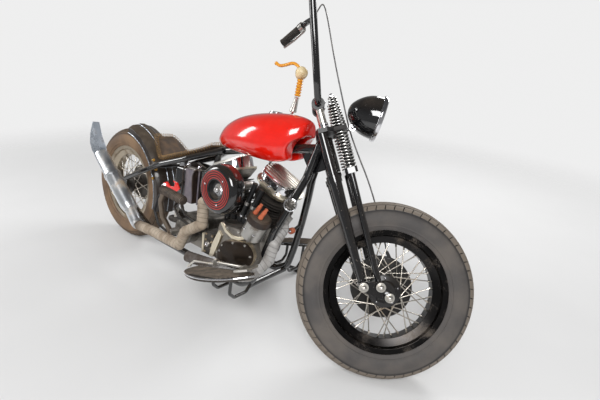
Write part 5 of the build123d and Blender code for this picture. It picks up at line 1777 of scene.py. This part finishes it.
# %% Rear lamp: a chrome cup and a red lens
LENS_FOOT, LENS_AIM = (-86, 128, 352), (-114, 128, 352)
LENS = [(0, 0), (24.5, 0), (24.5, 5), (20, 9), (0, 11)]


def red_lens():
    finish = Finish("lamp_red", Roughness=0.1, **{"Coat Weight": 1})
    finish.feed(**{"Base Color": finish.mix(finish.cells(260), tint(168, 14, 10), tint(120, 8, 8))})
    return finish.material


dressed("tail_lamp", chrome)
turning("tail_lamp_lens", LENS, red_lens(), MACHINE @ along(LENS_FOOT, LENS_AIM), segments=48, edge=0.8)

# %% [markdown]
# ## The rear fender
# Pressed sheet with a rolled bead along each edge, which stiffens it, and a raised centre between two thin
# ribs. Its gloss is gone where road dust sticks. Beads and ribs are arcs about the rear axle, so they are
# bars along such arcs, finished in pale blue steel as painted highlights along the edges and the crown.

# %% Rear fender
# degrees up from straight ahead
FENDER_FROM, FENDER_TO, ARC_STEPS = -12, 82, 40
BEAD_REACH, BEAD_Y, FENDER_RIB_REACH, FENDER_RIB_Y = 307.5, 73.5, 360.5, 18
# reach from the axle, y, degrees
STAY_BOLTS = ((347, -68, 35.4), (344, -68, 27), (316, -75, 19.7))
STAY_BOLT_AIM = (0.3, -1, 0.2)


def over_the_wheel(reach, y, first, last):
    """An arc about the rear axle."""
    turns = [math.radians(first + (last - first) * i / ARC_STEPS) for i in range(ARC_STEPS + 1)]
    return [polar(reach, y, turn) for turn in turns]


dressed("rear_fender", fender_paint)
# the beads and ribs are bright blue steel: painted highlights on the dark fender's edges and crown
highlight_beads = [over_the_wheel(BEAD_REACH, y, FENDER_FROM, FENDER_TO) for y in (-BEAD_Y, BEAD_Y)]
bars("fender_beads_painted_highlight", highlight_beads, blue_steel, REAR_WHEEL, thick=7, sides=12)
fender_ribs_painted_highlight = [over_the_wheel(FENDER_RIB_REACH, y, FENDER_FROM + 1, FENDER_TO - 1)
               for y in (-FENDER_RIB_Y, FENDER_RIB_Y)]
bars("fender_ribs_painted_highlight", fender_ribs_painted_highlight, blue_steel, REAR_WHEEL, thick=4, sides=10)
stay_bolts = [polar(reach, y, math.radians(turn)) for reach, y, turn in STAY_BOLTS]
heads("fender_bolts", stay_bolts, STAY_BOLT_AIM, brass, REAR_WHEEL, radius=7, tall=4, dome=0.9)

# %% [markdown]
# ## Small pieces on the fork
# The pivots wear domed steel nuts, the bars sit in bright sleeves, and the grips are ribbed rubber. The
# hub's right side carries a small pressed cover held by five screws.

# %% Fork hardware
LEG_PIVOT, SPRING_LEG_PIVOT = (-9.5, 386), (46, 372)
PIVOT_NUT_Y, AXLE_NUT_Y, NUT_RADIUS = 126, 130, 12.6
RISER_F, RISER_Y, RISER_SPAN = 7, 40, (946.5, 974)
CLAMP_BOLT_F, CLAMP_BOLT_S, CLAMP_BOLT_AIM = 26, 1048, (1, 0, 0.1)
LAMP_BOLT, HUB_SCREW_REACH, HUB_SCREW_Y, HUB_SCREW_COUNT = (110, -7, 938), 47, -36.5, 5
RISER_BAND, RISER_BACK = (947, 1026), 30

pivots = [(f, y, s) for f, s in (LEG_PIVOT, SPRING_LEG_PIVOT) for y in (-PIVOT_NUT_Y, PIVOT_NUT_Y)]
axle_ends = [(AXLE_F, y, AXLE_S) for y in (-AXLE_NUT_Y, AXLE_NUT_Y)]
heads("rocker_nuts", pivots, [RIGHT, LEFT] * 2, satin_steel, FORK, "fork", radius=NUT_RADIUS, tall=5,
      dome=0.75, sides=24)
heads("axle_nuts", axle_ends, [RIGHT, LEFT], satin_steel, FORK, "fork", radius=NUT_RADIUS, tall=4, dome=0.8)
sleeves = [[(RISER_F, y, s) for s in RISER_SPAN] for y in (-RISER_Y, RISER_Y)]
bars("riser_sleeves", sleeves, chrome, FORK, "fork", thick=33, sides=32)
clamp_bolts = [(CLAMP_BOLT_F, y, CLAMP_BOLT_S) for y in (-RISER_Y, RISER_Y)]
heads("clamp_bolts", clamp_bolts, CLAMP_BOLT_AIM, chrome, FORK, "fork", radius=6, tall=5, dome=0.8)
heads("lamp_bolt", [LAMP_BOLT], RIGHT, chrome, FORK, "fork", radius=9, tall=6, dome=0.9)
hub_screws = [polar(HUB_SCREW_REACH, HUB_SCREW_Y, turn) for turn in evenly(HUB_SCREW_COUNT)]
heads("hub_screws", hub_screws, RIGHT, chrome, FRONT_WHEEL, "front_wheel", radius=4.5, tall=3, dome=0.7)
top_clamp = dressed("top_clamp", black_satin, edge=1)
repaint(top_clamp, satin_steel, FORK, lambda p: RISER_BAND[0] < p.z < RISER_BAND[1] and p.x < RISER_BACK)
dressed("rockers", black_enamel, edge=1)
dressed("rear_axle", steel)

# %% Grips
# the bar's end section on the left, from its inner to its outer end
GRIP_FROM, GRIP_UNTIL, GRIP_START = Vector((76, 290, 1525)), Vector((-55, 372, 1503)), 0.14
GRIP_RIBS, GRIP_MARGIN, GRIP_FLANGE = 22, 6, [(0, 0), (19, 0), (19, 5)]
# radius of the rubber, and the share of a rib's pitch at which it has it
GRIP_RIB = ((15.6, 0), (17.2, 0.25), (17.2, 0.7), (15.6, 0.9))


def grip_profile(length):
    """A flange, the ribs and a rounded end."""
    ribbed = length - 2 * GRIP_MARGIN
    ribs = [(reach, GRIP_MARGIN + i * ribbed / GRIP_RIBS + ribbed / GRIP_RIBS * share)
            for i in range(GRIP_RIBS) for reach, share in GRIP_RIB]
    return GRIP_FLANGE + ribs + [(18.4, length - 5), (18.4, length - 1), (14, length + 1), (0, length + 1)]


for name, side in (("left", 1), ("right", -1)):
    inner, outer = (Vector((end.x, side * end.y, end.z)) for end in (GRIP_FROM, GRIP_UNTIL))
    inner = inner.lerp(outer, GRIP_START)
    profile = grip_profile((outer - inner).length)
    grip = turning("grip_" + name, profile, rubber, FORK @ along(inner, outer), "fork", segments=36)
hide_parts("grips")

# %% [markdown]
# ## Pieces whose CAD form is already right
# Tubes, fins, chain links, levers and plates have nothing to add to their CAD form. They are shown as they
# are, so each only gets its finish here.

# %% Finishes of the plain pieces
PLAIN = {
    "frame": black_enamel, "fuel_cap": chrome, "cylinders": dark_iron, "drive_chain": dark_iron,
    "side_stand": black_enamel, "rigid_fork": black_enamel, "spring_fork": black_enamel,
    "hand_levers": steel, "front_axle": chrome, "front_brake_plate": black_satin,
    "rear_sprocket": dark_iron, "handlebar": black_gloss, "headlight_glass": lens_glass,
}
for node, finish in PLAIN.items():
    mesh = frame["nodes"][node].data
    mesh.materials.clear()
    mesh.materials.append(finish)
print(len(PLAIN), "nodes keep their CAD form")

# %% The end: the two boxes
visual_box = [list(corner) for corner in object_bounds()]
growth = [round((visual_box[1][i] - visual_box[0][i]) - (cad_box[1][i] - cad_box[0][i]), 4) for i in range(3)]
print("the visual box is larger than the CAD box by", growth, "m")
